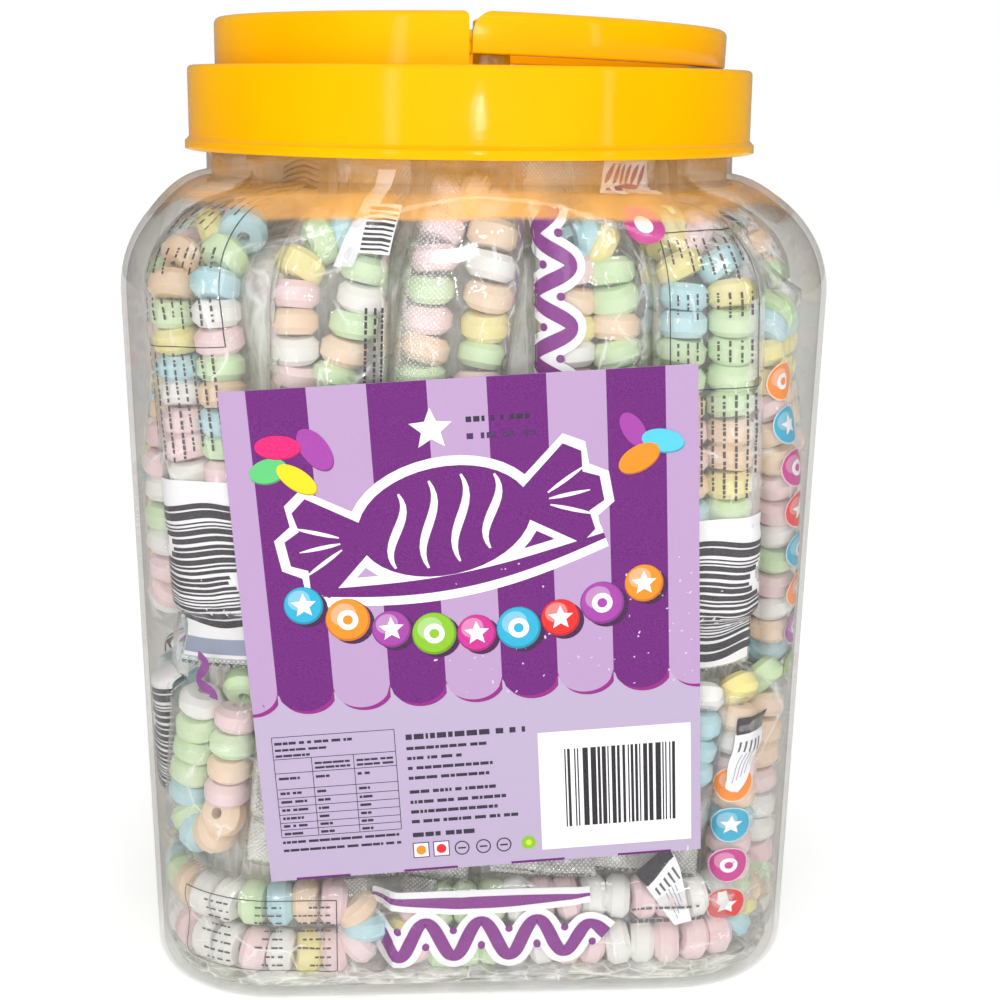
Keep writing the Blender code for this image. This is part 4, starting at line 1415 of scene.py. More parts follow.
    def bend_places(self):
        """Along and across of the beads where the two strands join."""
        bend = (STRAND_BEADS - 1) / 2 * self.pitch + 0.86 * self.pitch
        return (bend, self.gap * math.sin(BEND_TURN) + 0.2 * MM), (bend + 0.34 * self.pitch, 0.0)

    def bead_spots(self):
        """Along, across, turn, colour code and lift of every bead; a capital shows the bead face on."""
        draw = random.Random(self.seed)
        half = (STRAND_BEADS - 1) / 2
        (bend, reach), (apex, _) = self.bend_places()
        spots = []
        for side, codes in ((-1, self.left), (1, self.right)):
            order = [(bend, side * reach, side * BEND_TURN)]
            for index in range(STRAND_BEADS):
                along = (half - index) * self.pitch
                slope = (self.strand(side, along + MM) - self.strand(side, along - MM)) / (2 * MM)
                order.append((along, self.strand(side, along), -math.atan(slope)))
            order.append((-bend, side * reach, -side * BEND_TURN))
            for index, (along, across, turn) in enumerate(order):
                code = codes[index] if index < len(codes) else "?"
                if code == "?":
                    code = draw.choice("ppwwyggoobb")
                spots.append((along, float(across), turn, code, draw.uniform(-0.25, 0.1) * MM))
        for end in (1, -1):
            spots.append((end * apex, 0.0, math.pi / 2, draw.choice("pwygob"), 0.0))
        return spots


FRONT_UPPER = {
    -2: dict(place=-64.5, height=140.5, lean=-4.0, left="?oogybwppwo", right="bgbwpgobgpo",
             show="table text panel", roll=31.0, gap=5.4, pitch=5.9),
    -1: dict(place=-32.8, height=138.7, lean=2.0, left="gypowpg", right="ggwgogp", show="edge", roll=0.0,
             flip=False, shift=15.0, gap=7.0, pitch=5.95, pinch=(0.0, 0.36), knee=26.0),
    0: dict(place=-7.6, height=143.8, lean=7.0, left="pppgpog", right="powoygp", show="seam", roll=10.0,
            flip=True, gap=6.0, pitch=6.45),
    1: dict(place=23.8, height=138.5, lean=-1.0, left="Bpoywpg", right="yggoggw", show="ribbon", roll=-12.5,
            shift=8.0, flip=True, gap=4.6, pitch=5.85),
    2: dict(place=49.6, height=138.4, lean=-3.0, left="yybbggoppo", right="pbyggggooyg",
            show="table text panel", roll=31.0, gap=5.2, pitch=6.1),
    3: dict(place=88.0, height=119.0, lean=-10.0, left="byypooppwg", right="byyooppwgg", show="discs",
            roll=15.5, shift=-7.5, gap=5.4),
}
FRONT_LOWER = {
    0: dict(place=-61.7, height=79.0, lean=13.0, left="?????wwwwgggbg", right="?????gogpgopOo", show="ribbon",
            roll=24.0, shift=22.0),
    5: dict(place=74.2, height=63.5, lean=0.0, left="???????????ppg", right="?????gooopwwpg",
            show="discs words", roll=19.0, shift=-47.5),
}
FRONT_LYING = {
    0: dict(place=-76.0, height=17.0, lean=90.5, right="ppywpwwpwwpgyo", left="opobgwwogbgyow",
            show="table", roll=31.0, shift=-12.0),
    1: dict(place=25.0, height=17.0, lean=89.0, right="?pppwwppwwgggp", left="?wwppwwppwgggp",
            show="ribbon words", roll=-2.0, shift=-18.0, upside=True),
}
SHOWN_CHOICES = ("ribbon", "table text panel", "discs words", "seam", "edge panel", "text panel",
                 "ribbon discs", "table words")


def random_print(draw):
    """Which part of the print faces out on a pack that the front doesn't show."""
    return {"show": draw.choice(SHOWN_CHOICES), "roll": 1.5 * draw.randrange(-2, 22),
            "shift": draw.uniform(-8, 8), "flip": draw.random() < 0.3}


def placed_pack(draw, tier, front, place, height, lean):
    """A pack where the rule puts it, in millimetres and degrees, or else where the front shows it."""
    own = {"place": place, "height": height, "lean": lean, **random_print(draw), **front}
    return Pack(draw, own.pop("place") * MM, own.pop("height") * MM, own.pop("lean"), tier, **own)


def all_packs():
    """Two standing tiers and one lying ring, in the order of their places round the jar."""
    values = settings().pack
    draw = random.Random(values.seed)
    packs = []
    step = ROOM[-1] / values.standing
    first = -(values.standing // 2)
    for index in range(first, first + values.standing):
        place = float(looked_up(UPPER_START + index * step, ROOM, PLACES))
        corner = abs(math.sin(2 * math.atan2(*wall_points(place, 0.1, 0.0)[:2])))
        height = 137.0 - 11.0 * max(corner - 0.75, 0.0) / 0.25 + draw.uniform(-2, 3)
        packs.append(placed_pack(draw, "upper", FRONT_UPPER.get(index, {}), place / MM, height,
                                 draw.uniform(-4, 5)))
    for index in range(values.standing):
        place = float(looked_up(LOWER_START + index * step, ROOM, PLACES))
        height = 88.0 + draw.uniform(-1, 3)
        packs.append(placed_pack(draw, "lower", FRONT_LOWER.get(index, {}), place / MM, height,
                                 draw.uniform(3, 7)))
    for index in range(values.lying):
        place = LYING_START + index * WALL_ROUND / values.lying
        packs.append(placed_pack(draw, "lying", FRONT_LYING.get(index, {}), place / MM, 16.6,
                                 90 + draw.uniform(-1.5, 1.5)))
    return packs


def tier_packs(tier):
    return [pack for pack in all_packs() if pack.tier == tier]


def make_core():
    """The plain middle of the heap, behind the packs that show."""
    places = wall_stations(16, 10, 12)
    body = 12.0
    shoulder = SHOULDER_START / MM
    rise = SHOULDER_RISE / MM
    levels = [(1.6, 9.0), (1.8, 5.0), (2.8, 3.4), (5.0, 3.2), (6.2, 4.4), (7.2, 9.0), (10.0, body)]
    levels += [(z, body) for z in (40.0, 80.0, 120.0, 150.0, shoulder)]
    levels += [(shoulder + rise * share, body) for share in (0.15, 0.3, 0.4, 0.48)]
    levels += [(182.0, 12.5), (188.0, 13.0), (CORE_TOP / MM, 14.0)]
    rings = [wall_points(places, z * MM, inset * MM) for z, inset in levels]
    faces = capped_rings(len(rings), len(places))
    core = mesh_object("heap_middle", np.concatenate(rings), faces, heap_middle())
    outward_normals(core)
    return finish_piece(core, "tub", "wrapped_candy", "necklaces")


def bead_mesh():
    """One pressed bead: a straight band, two bevelled faces and a hole."""
    values = settings().pack
    radius = values.bead_diameter / 2
    half = values.bead_thickness / 2
    hole = values.bead_hole / 2
    below = [(hole, -half), (0.74 * radius, -0.95 * half), (radius, -0.48 * half)]
    section = below + [(reach, -z) for reach, z in reversed(below)]
    angles = [2 * math.pi * side / BEAD_SIDES for side in range(BEAD_SIDES)]
    vertices = [(reach * math.cos(angle), reach * math.sin(angle), z)
                for reach, z in section for angle in angles]
    faces = ring_faces(len(section), BEAD_SIDES)
    top = (len(section) - 1) * BEAD_SIDES
    for side in range(BEAD_SIDES):
        after = (side + 1) % BEAD_SIDES
        faces.append((top + side, top + after, after, side))
    bead = mesh_object("bead_pattern", vertices, faces, smooth=False)
    outward_normals(bead)
    return bead


STRAND_INPUTS = (("Geometry", "Geometry"), ("Bead", "Object"), ("Size Spread", "Float"), ("Tilt", "Float"),
                 ("Elastic Radius", "Float"), ("Seed", "Int"), ("Candy", "Material"), ("Elastic", "Material"))


def strand_tree():
    """Geometry Nodes: a bead on every point of a strand, and the elastic through them."""
    tree = bpy.data.node_groups.new("threaded_beads", "GeometryNodeTree")
    for name, kind in STRAND_INPUTS:
        tree.interface.new_socket(name, in_out="INPUT", socket_type=f"NodeSocket{kind}")
    tree.interface.new_socket("Geometry", in_out="OUTPUT", socket_type="NodeSocketGeometry")
    given = tree.nodes.new("NodeGroupInput").outputs
    result = tree.nodes.new("NodeGroupOutput")
    bead = add_node(tree, "GeometryNodeObjectInfo", {"Object": given["Bead"]})
    turn = add_node(tree, "GeometryNodeInputNamedAttribute", {"Name": "bead_turn"}, data_type="FLOAT_VECTOR")
    base = add_node(tree, "FunctionNodeEulerToRotation", {0: turn.outputs[0]})
    less = times(tree, given["Tilt"], -1.0)
    low = add_node(tree, "ShaderNodeCombineXYZ", {0: less, 1: less, 2: -3.14})
    high = add_node(tree, "ShaderNodeCombineXYZ", {0: given["Tilt"], 1: given["Tilt"], 2: 3.14})
    tilt = add_node(tree, "FunctionNodeRandomValue",
                    {0: low.outputs[0], 1: high.outputs[0], "Seed": given["Seed"]}, data_type="FLOAT_VECTOR")
    wobble = add_node(tree, "FunctionNodeEulerToRotation", {0: tilt.outputs[0]})
    both = add_node(tree, "FunctionNodeRotateRotation", {0: base.outputs[0], 1: wobble.outputs[0]},
                    rotation_space="LOCAL")
    smaller = math_node(tree, "SUBTRACT", 1.0, given["Size Spread"])
    larger = plus(tree, 1.0, given["Size Spread"])
    scale = add_node(tree, "FunctionNodeRandomValue", {2: smaller, 3: larger, "Seed": given["Seed"]},
                     data_type="FLOAT")
    beads = add_node(tree, "GeometryNodeInstanceOnPoints",
                     {"Points": given["Geometry"], "Instance": bead.outputs["Geometry"],
                      "Rotation": both.outputs[0], "Scale": scale.outputs[1]})
    solid = add_node(tree, "GeometryNodeRealizeInstances", {"Geometry": beads.outputs[0]})
    sugared = add_node(tree, "GeometryNodeSetMaterial",
                       {"Geometry": solid.outputs[0], "Material": given["Candy"]})
    line = add_node(tree, "GeometryNodeMeshToCurve", {0: given["Geometry"]})
    ring = add_node(tree, "GeometryNodeCurvePrimitiveCircle",
                    {"Resolution": 5, "Radius": given["Elastic Radius"]})
    tube = add_node(tree, "GeometryNodeCurveToMesh",
                    {"Curve": line.outputs[0], "Profile Curve": ring.outputs[0], "Fill Caps": True})
    tied = add_node(tree, "GeometryNodeSetMaterial",
                    {"Geometry": tube.outputs[0], "Material": given["Elastic"]})
    joined = tree.nodes.new("GeometryNodeJoinGeometry")
    for part in (tied, sugared):
        tree.links.new(part.outputs[0], joined.inputs[0])
    plain = add_node(tree, "GeometryNodeRealizeInstances", {"Geometry": joined.outputs[0]})
    tree.links.new(plain.outputs[0], result.inputs[0])
    return tree


def set_inputs(modifier, tree, values):
    """Set a modifier's inputs by the identifiers of the tree's named sockets."""
    for item in tree.interface.items_tree:
        if item.item_type == "SOCKET" and item.in_out == "INPUT" and item.name in values:
            modifier[item.identifier] = values[item.name]


def bead_frames(pack):
    """Places, turns and colours of a pack's beads."""
    u, v, twists, codes, lift = (np.array(column) for column in zip(*pack.bead_spots()))
    tiny = 0.2 * MM
    here = pack.world(u, v, lift)
    along = pack.world(u + tiny, v, lift) - here
    across = pack.world(u, v + tiny, lift) - here
    turns = []
    for ahead, beside, twist, code in zip(along, across, twists, codes):
        forward = Vector(ahead).normalized()
        side = Vector(beside).normalized()
        out = side.cross(forward).normalized()
        axis = forward * math.cos(twist) - side * math.sin(twist)
        if code.isupper():
            axis = (out + 0.35 * forward).normalized()
        first = axis.orthogonal().normalized()
        matrix = Matrix((first, axis.cross(first), axis)).transposed()
        turns.append(tuple(matrix.to_euler()))
    colours = [(*CANDY_COLOURS[code.lower()], 1.0) for code in codes]
    return here, turns, colours


def make_beads():
    """All threaded beads, one mesh for each tier."""
    values = settings().pack
    tree = strand_tree()
    pattern = bead_mesh()
    materials = (candy(), thread())
    made = []
    for number, tier in enumerate(TIERS):
        points = []
        edges = []
        turns = []
        colours = []
        for pack in tier_packs(tier):
            here, own_turns, own_colours = bead_frames(pack)
            start = len(points)
            half = len(here) // 2 - 1
            loop = list(range(half)) + [2 * half + 1] + list(range(2 * half - 1, half - 1, -1)) + [2 * half]
            edges += [(start + first, start + second) for first, second in zip(loop, loop[1:] + loop[:1])]
            points += [tuple(point) for point in here]
            turns += own_turns
            colours += own_colours
        mesh = bpy.data.meshes.new(f"strands_{tier}")
        mesh.from_pydata(points, edges, [])
        store_on_points(mesh, "bead_turn", "FLOAT_VECTOR", turns)
        store_on_points(mesh, "bead_colour", "FLOAT_COLOR", colours)
        strands = link_object(f"strands_{tier}", mesh)
        modifier = strands.modifiers.new("threaded beads", "NODES")
        modifier.node_group = tree
        set_inputs(modifier, tree, {"Bead": pattern, "Size Spread": 0.035, "Tilt": 0.20,
                                    "Elastic Radius": ELASTIC_RADIUS, "Seed": values.seed + number,
                                    "Candy": materials[0], "Elastic": materials[1]})
        beads = evaluated_copy(strands, f"candy_beads_{tier}")
        smooth_edges(beads, 40.0)
        made.append(finish_piece(beads, "tub", "wrapped_candy"))
    bpy.data.objects.remove(pattern, do_unlink=True)
    return made


def film_rows():
    """Stations along a wrap, closer at its crimped ends."""
    values = settings().pack
    end = values.length / 2
    seal = end - values.seal
    crimp = np.linspace(seal, end, CRIMP_ROWS)[1:]
    return np.concatenate([-crimp[::-1], np.linspace(-seal, seal, FILM_ROWS), crimp])


def film_lanes():
    """Places across a wrap's front."""
    return np.linspace(-1, 1, FRONT_LANES) * settings().pack.half_width


def film_shell(pack):
    """Points, faces, sheet places, crimp shares and front flags of one wrap."""
    values = settings().pack
    rows = film_rows()
    front = film_lanes()
    lanes = np.concatenate([front, np.linspace(1, -1, BACK_LANES)[1:-1] * values.half_width])
    u, v = np.meshgrid(rows, lanes, indexing="ij")
    is_back = np.broadcast_to(np.arange(len(lanes)) >= len(front), u.shape)
    seal = values.length / 2 - values.seal
    teeth = np.where(np.arange(len(lanes)) % 2 == 0, 1.0, -1.0) * TOOTH_DEPTH
    u[0] -= teeth
    u[-1] += teeth
    full = smooth_step((seal - np.abs(u)) / SEAL_BLEND)
    height = pack.film_height(u, v)
    deep = -BACK_BULGE * full * np.sqrt(np.maximum(1 - (v / values.half_width) ** 2, 0.0)) - 0.12 * MM
    past = np.clip((np.abs(u) - seal) / values.seal, 0, 1)
    height = np.where(is_back, np.where(past > 0, height - 0.2 * MM, deep), height)
    points = pack.world(u, v, height).reshape(-1, 3)
    faces = capped_rings(len(rows), len(lanes))
    crimp = np.clip(past * 8, 0, 1)
    if "seam" in pack.show:
        lane = np.abs(v + 7.6 * MM) < 4.2 * MM
        crimp = np.where(lane & ~is_back, 0.75, crimp)
    sheet = np.stack([u, v, np.zeros_like(u)], -1).reshape(-1, 3)
    return points, faces, sheet, crimp.ravel(), 1.0 - is_back.astype(float).ravel()


def make_films():
    """All clear wraps, one mesh for each tier."""
    material = film()
    made = []
    for tier in TIERS:
        parts = [film_shell(pack) for pack in tier_packs(tier)]
        for number, part in enumerate(parts):
            part[2][:, 2] = 0.07 * (number + 1)
        points, faces, sheets, crimps, fronts = joined_parts(parts)
        wraps = mesh_object(f"clear_wraps_{tier}", points, faces, material,
                            attributes={"sheet": ("FLOAT_VECTOR", sheets), "crimp": ("FLOAT", crimps),
                                        "outside": ("FLOAT", fronts)})
        outward_normals(wraps)
        made.append(finish_piece(wraps, "tub", "wrapped_candy"))
    return made


# Print on the wraps: x runs round the wrap, y along it, in millimetres


def ribbon_print(sheet, draw):
    """A white-edged purple streamer that waves along the wrap, with a swash beside it."""
    wave = []
    width = []
    for step in range(RIBBON_STEPS + 1):
        share = step / RIBBON_STEPS
        swing = 4.4 * math.sin(math.pi * min(1.0, 0.25 + 3.0 * min(share, 1 - share)) / 2)
        turn = share * 2 * math.pi * RIBBON_WAVES
        wave.append((-3.2 + swing * math.sin(turn), -24.0 + 63.0 * share))
        width.append(2.5 + 0.7 * abs(math.cos(turn)))
    swash = [(6.9 - 0.9 * math.sin(math.pi * step / 20), -20.0 + 52.0 * step / 20) for step in range(21)]
    thin = [0.7 + 2.1 * math.sin(math.pi * step / 20) for step in range(21)]
    sheet.stroke(wave, [value + 3.6 for value in width], "white", 1.0)
    sheet.stroke(swash, [value + 3.0 for value in thin], "white", 1.2)
    sheet.stroke(wave, width, "purple", 1.8)
    sheet.stroke(swash, thin, "purple", 2.0)
    for index in range(9):
        side = 1.0 if index % 2 else -1.0
        y = -24.0 + 63.0 * (index + 0.5) / (2 * RIBBON_WAVES)
        sheet.disc(-3.2 + 1.9 * side, y, 0.9, "purple", 2.2, 14)


def disc_print(sheet, draw):
    """A row of round coloured sweets with plain white marks."""
    keys = ("green", "violet", "orange", "cyan", "red", "magenta", "cyan", "orange")
    x = 9.4
    for index, key in enumerate(keys):
        y = -36.0 + 10.25 * index
        sheet.disc(x, y, 4.45, lighter(key, 0.55), 1.0, 24)
        sheet.disc(x, y, 4.15, key, 1.4, 24)
        sheet.oval(x - 1.0, y + 1.2, 2.3, 2.0, 0.5, lighter(key, 0.22), 1.6, 16)
        if index % 2:
            sheet.disc(x, y, 1.9, "white", 2.0, 16)
            sheet.disc(x, y, 0.9, key, 2.2, 12)
        else:
            sheet.star(x, y, 2.5, "white", 2.0)


def vertical_dashes(sheet, x, low, high, height, colour, draw, weight=1.0):
    """A line of small print as plain dashes along the wrap."""
    y = high
    while y > low + 0.5:
        dash = min(draw.uniform(0.35, 1.5), y - low)
        sheet.box(x, y - dash, x + height * (0.26 + 0.10 * weight), y, colour, 1.0)
        y -= dash + draw.choice((0.2, 0.2, 0.55)) * height


def table_print(sheet, draw):
    """A ruled frame with columns of short words."""
    half = 0.11
    left, right, low, high = 22.0, 40.0, 13.5, 47.5
    for x in (left, right):
        sheet.box(x - half, low, x + half, high, "black", 1.0)
    for y in (low, high):
        sheet.box(left, y - half, right, y + half, "black", 1.2)
    for index in range(8):
        x = left + 1.4 + index * 2.1
        for start, length in ((46.0, 9.5), (34.5, 7.0), (24.0, 8.0)):
            vertical_dashes(sheet, x, start - length * draw.uniform(0.45, 1.0), start, 1.25, "soot", draw)


def text_print(sheet, draw):
    """Lines of small words that read along the wrap."""
    for index in range(8):
        x = 22.2 + index * 2.15
        weight = 1.35 if index % 3 == 0 else 1.0
        vertical_dashes(sheet, x, -14.0 + draw.uniform(-1, 7), 12.0, 1.3, "soot", draw, weight)


def word_print(sheet, draw):
    """A short bold line and a thin one beside the ribbon's end."""
    vertical_dashes(sheet, -1.0, -46.0, -30.0, 1.9, "grey", draw, 1.4)
    vertical_dashes(sheet, 2.6, -46.0, -30.0, 1.7, "grey", draw)


def edge_print(sheet, draw):
    """Words close to the wrap's edge."""
    for x in (7.4, 9.4, 11.2):
        vertical_dashes(sheet, x, -20.0, 10.0, 1.5, "black", draw, 1.3)


def panel_sides(y):
    """Left and right ends of the panel's bars, pinched in where the wrap is folded."""
    left = 18.6 + 5.5 * math.exp(-((y + 30.0) / 4.0) ** 2)
    right = 43.4 - 8.5 * math.exp(-((y + 38.5) / 3.6) ** 2)
    return left, right


def panel_print(sheet, draw):
    """A white panel at one end with a stack of dark bars across it."""
    step = 0.95
    for index in range(44):
        low = -57.8 + step * index
        left, right = panel_sides(low + step / 2)
        sheet.box(left - 2.0, low, right + 2.0, low + step, "white", 1.0)
    sheet.box(12.0, -57.0, 50.0, -53.6, "steel", 1.6)
    y = -21.5
    while y > -49.5:
        bar = draw.choice((0.35, 0.5, 0.8, 1.2, 1.8))
        left, right = panel_sides(y)
        bend = [(left + (right - left) * part / 14, 0.0) for part in range(15)]
        bend = [(x, y - bar / 2 + 0.7 * math.sin(0.3 * x + 0.09 * y)) for x, _ in bend]
        sheet.stroke(bend, [bar] * 15, "black", 1.8)
        y -= bar + draw.choice((0.35, 0.35, 0.5, 0.7))


PRINTS = {
    "ribbon": ribbon_print,
    "discs": disc_print,
    "table": table_print,
    "text": text_print,
    "words": word_print,
    "edge": edge_print,
    "panel": panel_print,
}


def cut_prints():
    """Every kind of print, cut fine and kept as arrays."""
    kinds = {}
    for number, (key, make) in enumerate(PRINTS.items()):
        sheet = Print()
        make(sheet, random.Random(PRINT_SEED + number))
        sheet.cut(SHEET_CUT, SHEET_CUT)
        kinds[key] = sheet.arrays()
    return kinds


def laid_print(pack, print_arrays):
    """One kind of print laid on a pack's film, without what falls on its far side."""
    values = settings().pack
    flat, layers, colours, faces = print_arrays
    half_round = SHEET_ROUND / 2
    aside = (flat[:, 0] - pack.roll + half_round) % SHEET_ROUND - half_round
    end = -1 if pack.upside else 1
    u = (end * flat[:, 1] + pack.shift) * MM
    v = pack.sheet_across(u, (-end if pack.flip else end) * aside * MM)
    inside = (np.abs(v) <= values.half_width - 0.25 * MM) & (np.abs(u) <= values.length / 2 - 0.4 * MM)
    kept = [face[::-1] if pack.flip else face for face in faces if all(inside[index] for index in face)]
    height = pack.mesh_height(u, v) + WRAP_INK_LIFT + WRAP_INK_STEP * layers
    return pack.world(u, v, height), kept, colours


def compact(points, faces, colours):
    """Drop the points that no face uses."""
    used = sorted({index for face in faces for index in face})
    order = {old: new for new, old in enumerate(used)}
    return points[used], [tuple(order[index] for index in face) for face in faces], colours[used]


def scrap_strip(sheet):
    """A loose white wrap end with a few bars."""
    sheet.polygon([(-3.8, 12.0), (-9.8, -8.0), (-5.6, -8.0), (0.7, 12.0)], "white", 1.0)
    sheet.polygon([(-3.6, 5.2), (-4.6, -5.0), (1.8, -5.6), (3.4, 4.8)], "white", 1.2)
    for index in range(9):
        y = 4.2 - 1.05 * index
        bar = [(-3.4 - 0.12 * index, y), (0.0, y - 0.15), (3.0 - 0.18 * index, y - 0.6)]
        sheet.stroke(bar, [0.5, 0.45, 0.35] if index % 3 else [0.7, 0.7, 0.6], "black", 1.8)


def scrap_stripes(sheet):
    """A corner of printed wrap with slanted purple stripes on white."""
    sheet.polygon([(-9.0, -4.2), (8.5, -2.6), (9.0, 4.8), (-8.0, 3.4)], "white", 1.0)
    for x in (-6.4, -4.0, -1.6, 0.8, 3.2, 5.6):
        sheet.oval(x, 0.7 + 0.06 * x, 2.7, 0.62, 1.0, "purple", 1.8)
    sheet.stroke([(-7.5, -3.2), (0.0, -1.9), (7.5, -1.6)], [0.5, 1.3, 0.5], "purple", 2.0)


def scrap_bars(sheet):
    """A folded corner of wrap with curved bars."""
    swell = [math.sin(math.pi * step / 8) for step in range(9)]
    for index in range(6):
        y = -3.4 + 1.25 * index
        bar = [(-8.0 + 2.0 * step, y + 1.4 * rise) for step, rise in enumerate(swell)]
        sheet.stroke(bar, [0.25 + 0.35 * rise for rise in swell], "black", 1.0)


def scrap_wedge(sheet):
    """A white wedge of wrap with a dark edge and short marks."""
    sheet.polygon([(-5.0, 0.4), (5.0, 2.0), (3.8, -2.0), (-2.4, -14.0), (-6.4, -12.6)], "white", 1.0)
    sheet.polygon([(-5.0, 4.4), (5.4, 5.6), (4.6, 1.4), (-4.6, 0.2)], "black", 1.2)
    for index in range(5):
        x = -3.8 + 1.5 * index
        y = -1.4 + 0.2 * index
        sheet.polygon([(x, y), (x + 0.6, y + 0.1), (x + 0.2, -3.8), (x - 0.3, -3.8)], "grey", 1.8)
    for index in range(4):
        x = -4.6 + 1.1 * index
        mark = [(x + 2.0, -4.5 + 0.4 * index), (x, -11.5 + 0.8 * index)]
        sheet.stroke(mark, [0.22, 0.22], "steel", 1.8)


def scrap_curl(sheet):
    """A purple curl of print."""
    curl = [(1.8 * math.sin(step * 0.62), 5.5 - 0.75 * step) for step in range(15)]
    sheet.stroke(curl, [1.6 + 0.9 * abs(math.cos(step * 0.62)) for step in range(15)], "purple", 1.0)


def scrap_disc(sheet):
    """One printed sweet."""
    sheet.oval(0.0, 0.0, 4.6, 3.9, 0.3, "magenta", 1.0)
    sheet.oval(0.0, 0.0, 1.9, 1.7, 0.3, "white", 1.6)


SCRAPS = (
    (scrap_strip, -21.5, 180.0, 0.0, 2.2),
    (scrap_stripes, 39.0, 190.5, -6.0, 1.9),
    (scrap_bars, -53.0, 190.5, 3.0, 1.9),
    (scrap_disc, 35.5, 181.0, 0.0, 2.0),
    (scrap_curl, -63.5, 79.5, 14.0, 1.9),
    (scrap_wedge, 66.0, 63.5, -4.0, 2.0),
    (scrap_wedge, 44.0, 31.0, 42.0, 2.0),
)


def laid_scrap(make, place, height, lean, inset, number):
    """A loose bit of print just inside the jar's wall."""
    sheet = Print()
    make(sheet)
    sheet.cut(SHEET_CUT, SHEET_CUT)
    flat, layers, colours, faces = sheet.arrays()
    x, y = turned(flat[:, 0], flat[:, 1], math.radians(lean))
    wave = 0.45 * np.sin(x * 0.55 + number) + 0.35 * np.sin(y * 0.7)
    points = wall_points((place + x) * MM, (height + y) * MM, (inset + wave - 0.05 * layers) * MM)
    return points, faces, colours


def make_prints():
    """The print of every wrap as one mesh."""
    kinds = cut_prints()
    parts = []
    for pack in all_packs():
        for key in pack.show:
            points, faces, colours = laid_print(pack, kinds[key]) if key in kinds else ([], [], [])
            if faces:
                parts.append(compact(points, faces, colours))
    parts += [laid_scrap(*scrap, number) for number, scrap in enumerate(SCRAPS)]
    points, faces, colours = joined_parts(parts)
    prints = mesh_object("wrap_print", points, faces, ink("wrap_ink", 0.3, 0.10, 0.35),
                         attributes={"ink": ("FLOAT_COLOR", colours)})
    return finish_piece(prints, "tub", "wrapped_candy")


# Stage


FLOOR_REACH = 3.0
FLOOR_DROP = 0.2 * MM
# Each soft box: name, place, width and height. Its power is a setting of the stage.
SOFT_BOXES = (
    ("key", (-0.50, -0.80, 0.42), 0.09, 0.60),
    ("fill", (0.72, -0.60, 0.35), 0.06, 0.50),
    ("strip", (0.02, -0.66, 0.60), 0.45, 0.07),
)
LIGHT_AIM = (0.0, 0.0, 0.12)
FLASH_OFFSET = (0.026, -0.020, 0.006)
FLASH_SIZE = 0.028


def area_light(name, place, aim, width, height, power):
    """A soft rectangular light that faces a point."""
    data = bpy.data.lights.new(name, "AREA")
    data.shape = "RECTANGLE"
    data.size = width
    data.size_y = height
    data.energy = power
    lamp = link_object(name, data)
    lamp.location = place
    lamp.rotation_euler = (Vector(aim) - Vector(place)).to_track_quat("-Z", "Y").to_euler()


def light_tent(values):
    """White backdrop, with softer light from the sides than from the front and above."""
    world = bpy.data.worlds.new("light_tent")
    world.use_nodes = True
    tree = world.node_tree
    sky = tree.nodes["Background"]
    way = add_node(tree, "ShaderNodeTexCoord").outputs["Generated"]
    parts = add_node(tree, "ShaderNodeSeparateXYZ", {0: way}).outputs
    depth = map_range(tree, parts["Y"], -1.0, 1.0, values.front_light, values.back_light)
    side = math_node(tree, "POWER", math_node(tree, "ABSOLUTE", parts["X"]), 1.5)
    level = add_node(tree, "ShaderNodeMix", {0: side, 2: depth, 3: values.side_light}).outputs[0]
    level = add_node(tree, "ShaderNodeMix", {0: map_range(tree, parts["Z"], 0.5, 1.0), 2: level,
                                             3: values.top_light}).outputs[0]
    seen = add_node(tree, "ShaderNodeLightPath").outputs["Is Camera Ray"]
    strength = add_node(tree, "ShaderNodeMix", {0: seen, 2: level, 3: 1.0}).outputs[0]
    tree.links.new(strength, sky.inputs["Strength"])
    sky.inputs["Color"].default_value = (1.0, 1.0, 1.0, 1.0)
    return world


def make_stage():
    """Camera, floor, surroundings and lights."""
    values = settings().stage
    scene = bpy.context.scene
    data = bpy.data.cameras.new("camera")
    data.sensor_width = 36.0
    data.sensor_fit = "HORIZONTAL"
    data.lens = values.lens
    data.clip_start = 0.01
    camera = link_object("camera", data)
    turn = Matrix.Rotation(-values.yaw, 4, "Z")
    place = Vector((values.aside, -values.distance, values.height))
    tilt = Matrix.Rotation(math.pi / 2 - values.pitch, 4, "X")
    lean = Matrix.Rotation(values.roll, 4, "Z")
    camera.matrix_world = Matrix.Translation(turn @ place) @ turn @ tilt @ lean
    scene.camera = camera
    scene.world = light_tent(values)
    material, tree = new_material("plain_floor")
    fleck = mix_colours(tree, noise(tree, 60.0, 2.0), values.floor, srgb(255, 255, 255))
    one_shader(material, {"Base Color": fleck, "Roughness": 0.8, "Emission Color": (1.0, 1.0, 1.0, 1.0),
                          "Emission Strength": 0.30})
    quarters = ((-1, -1), (1, -1), (1, 1), (-1, 1))
    corners = [(x * FLOOR_REACH, y * FLOOR_REACH, -FLOOR_DROP) for x, y in quarters]
    floor = mesh_object("floor", corners, [(0, 1, 2, 3)], material, smooth=False)
    for name, lamp_place, width, height in SOFT_BOXES:
        area_light(name, lamp_place, LIGHT_AIM, width, height, getattr(values, f"{name}_power"))
    beside = turn @ (place + Vector(FLASH_OFFSET))
    area_light("flash", beside, (0.0, 0.0, beside.z), FLASH_SIZE, FLASH_SIZE, values.flash_power)
    scene.view_settings.view_transform = "Standard"
    scene.view_settings.look = "None"
    scene.cycles.transparent_max_bounces = 40
    scene.cycles.max_bounces = 6
    scene.cycles.diffuse_bounces = 2
    scene.cycles.light_sampling_threshold = 0.05
    scene.cycles.glossy_bounces = 3
    return camera


# Operators


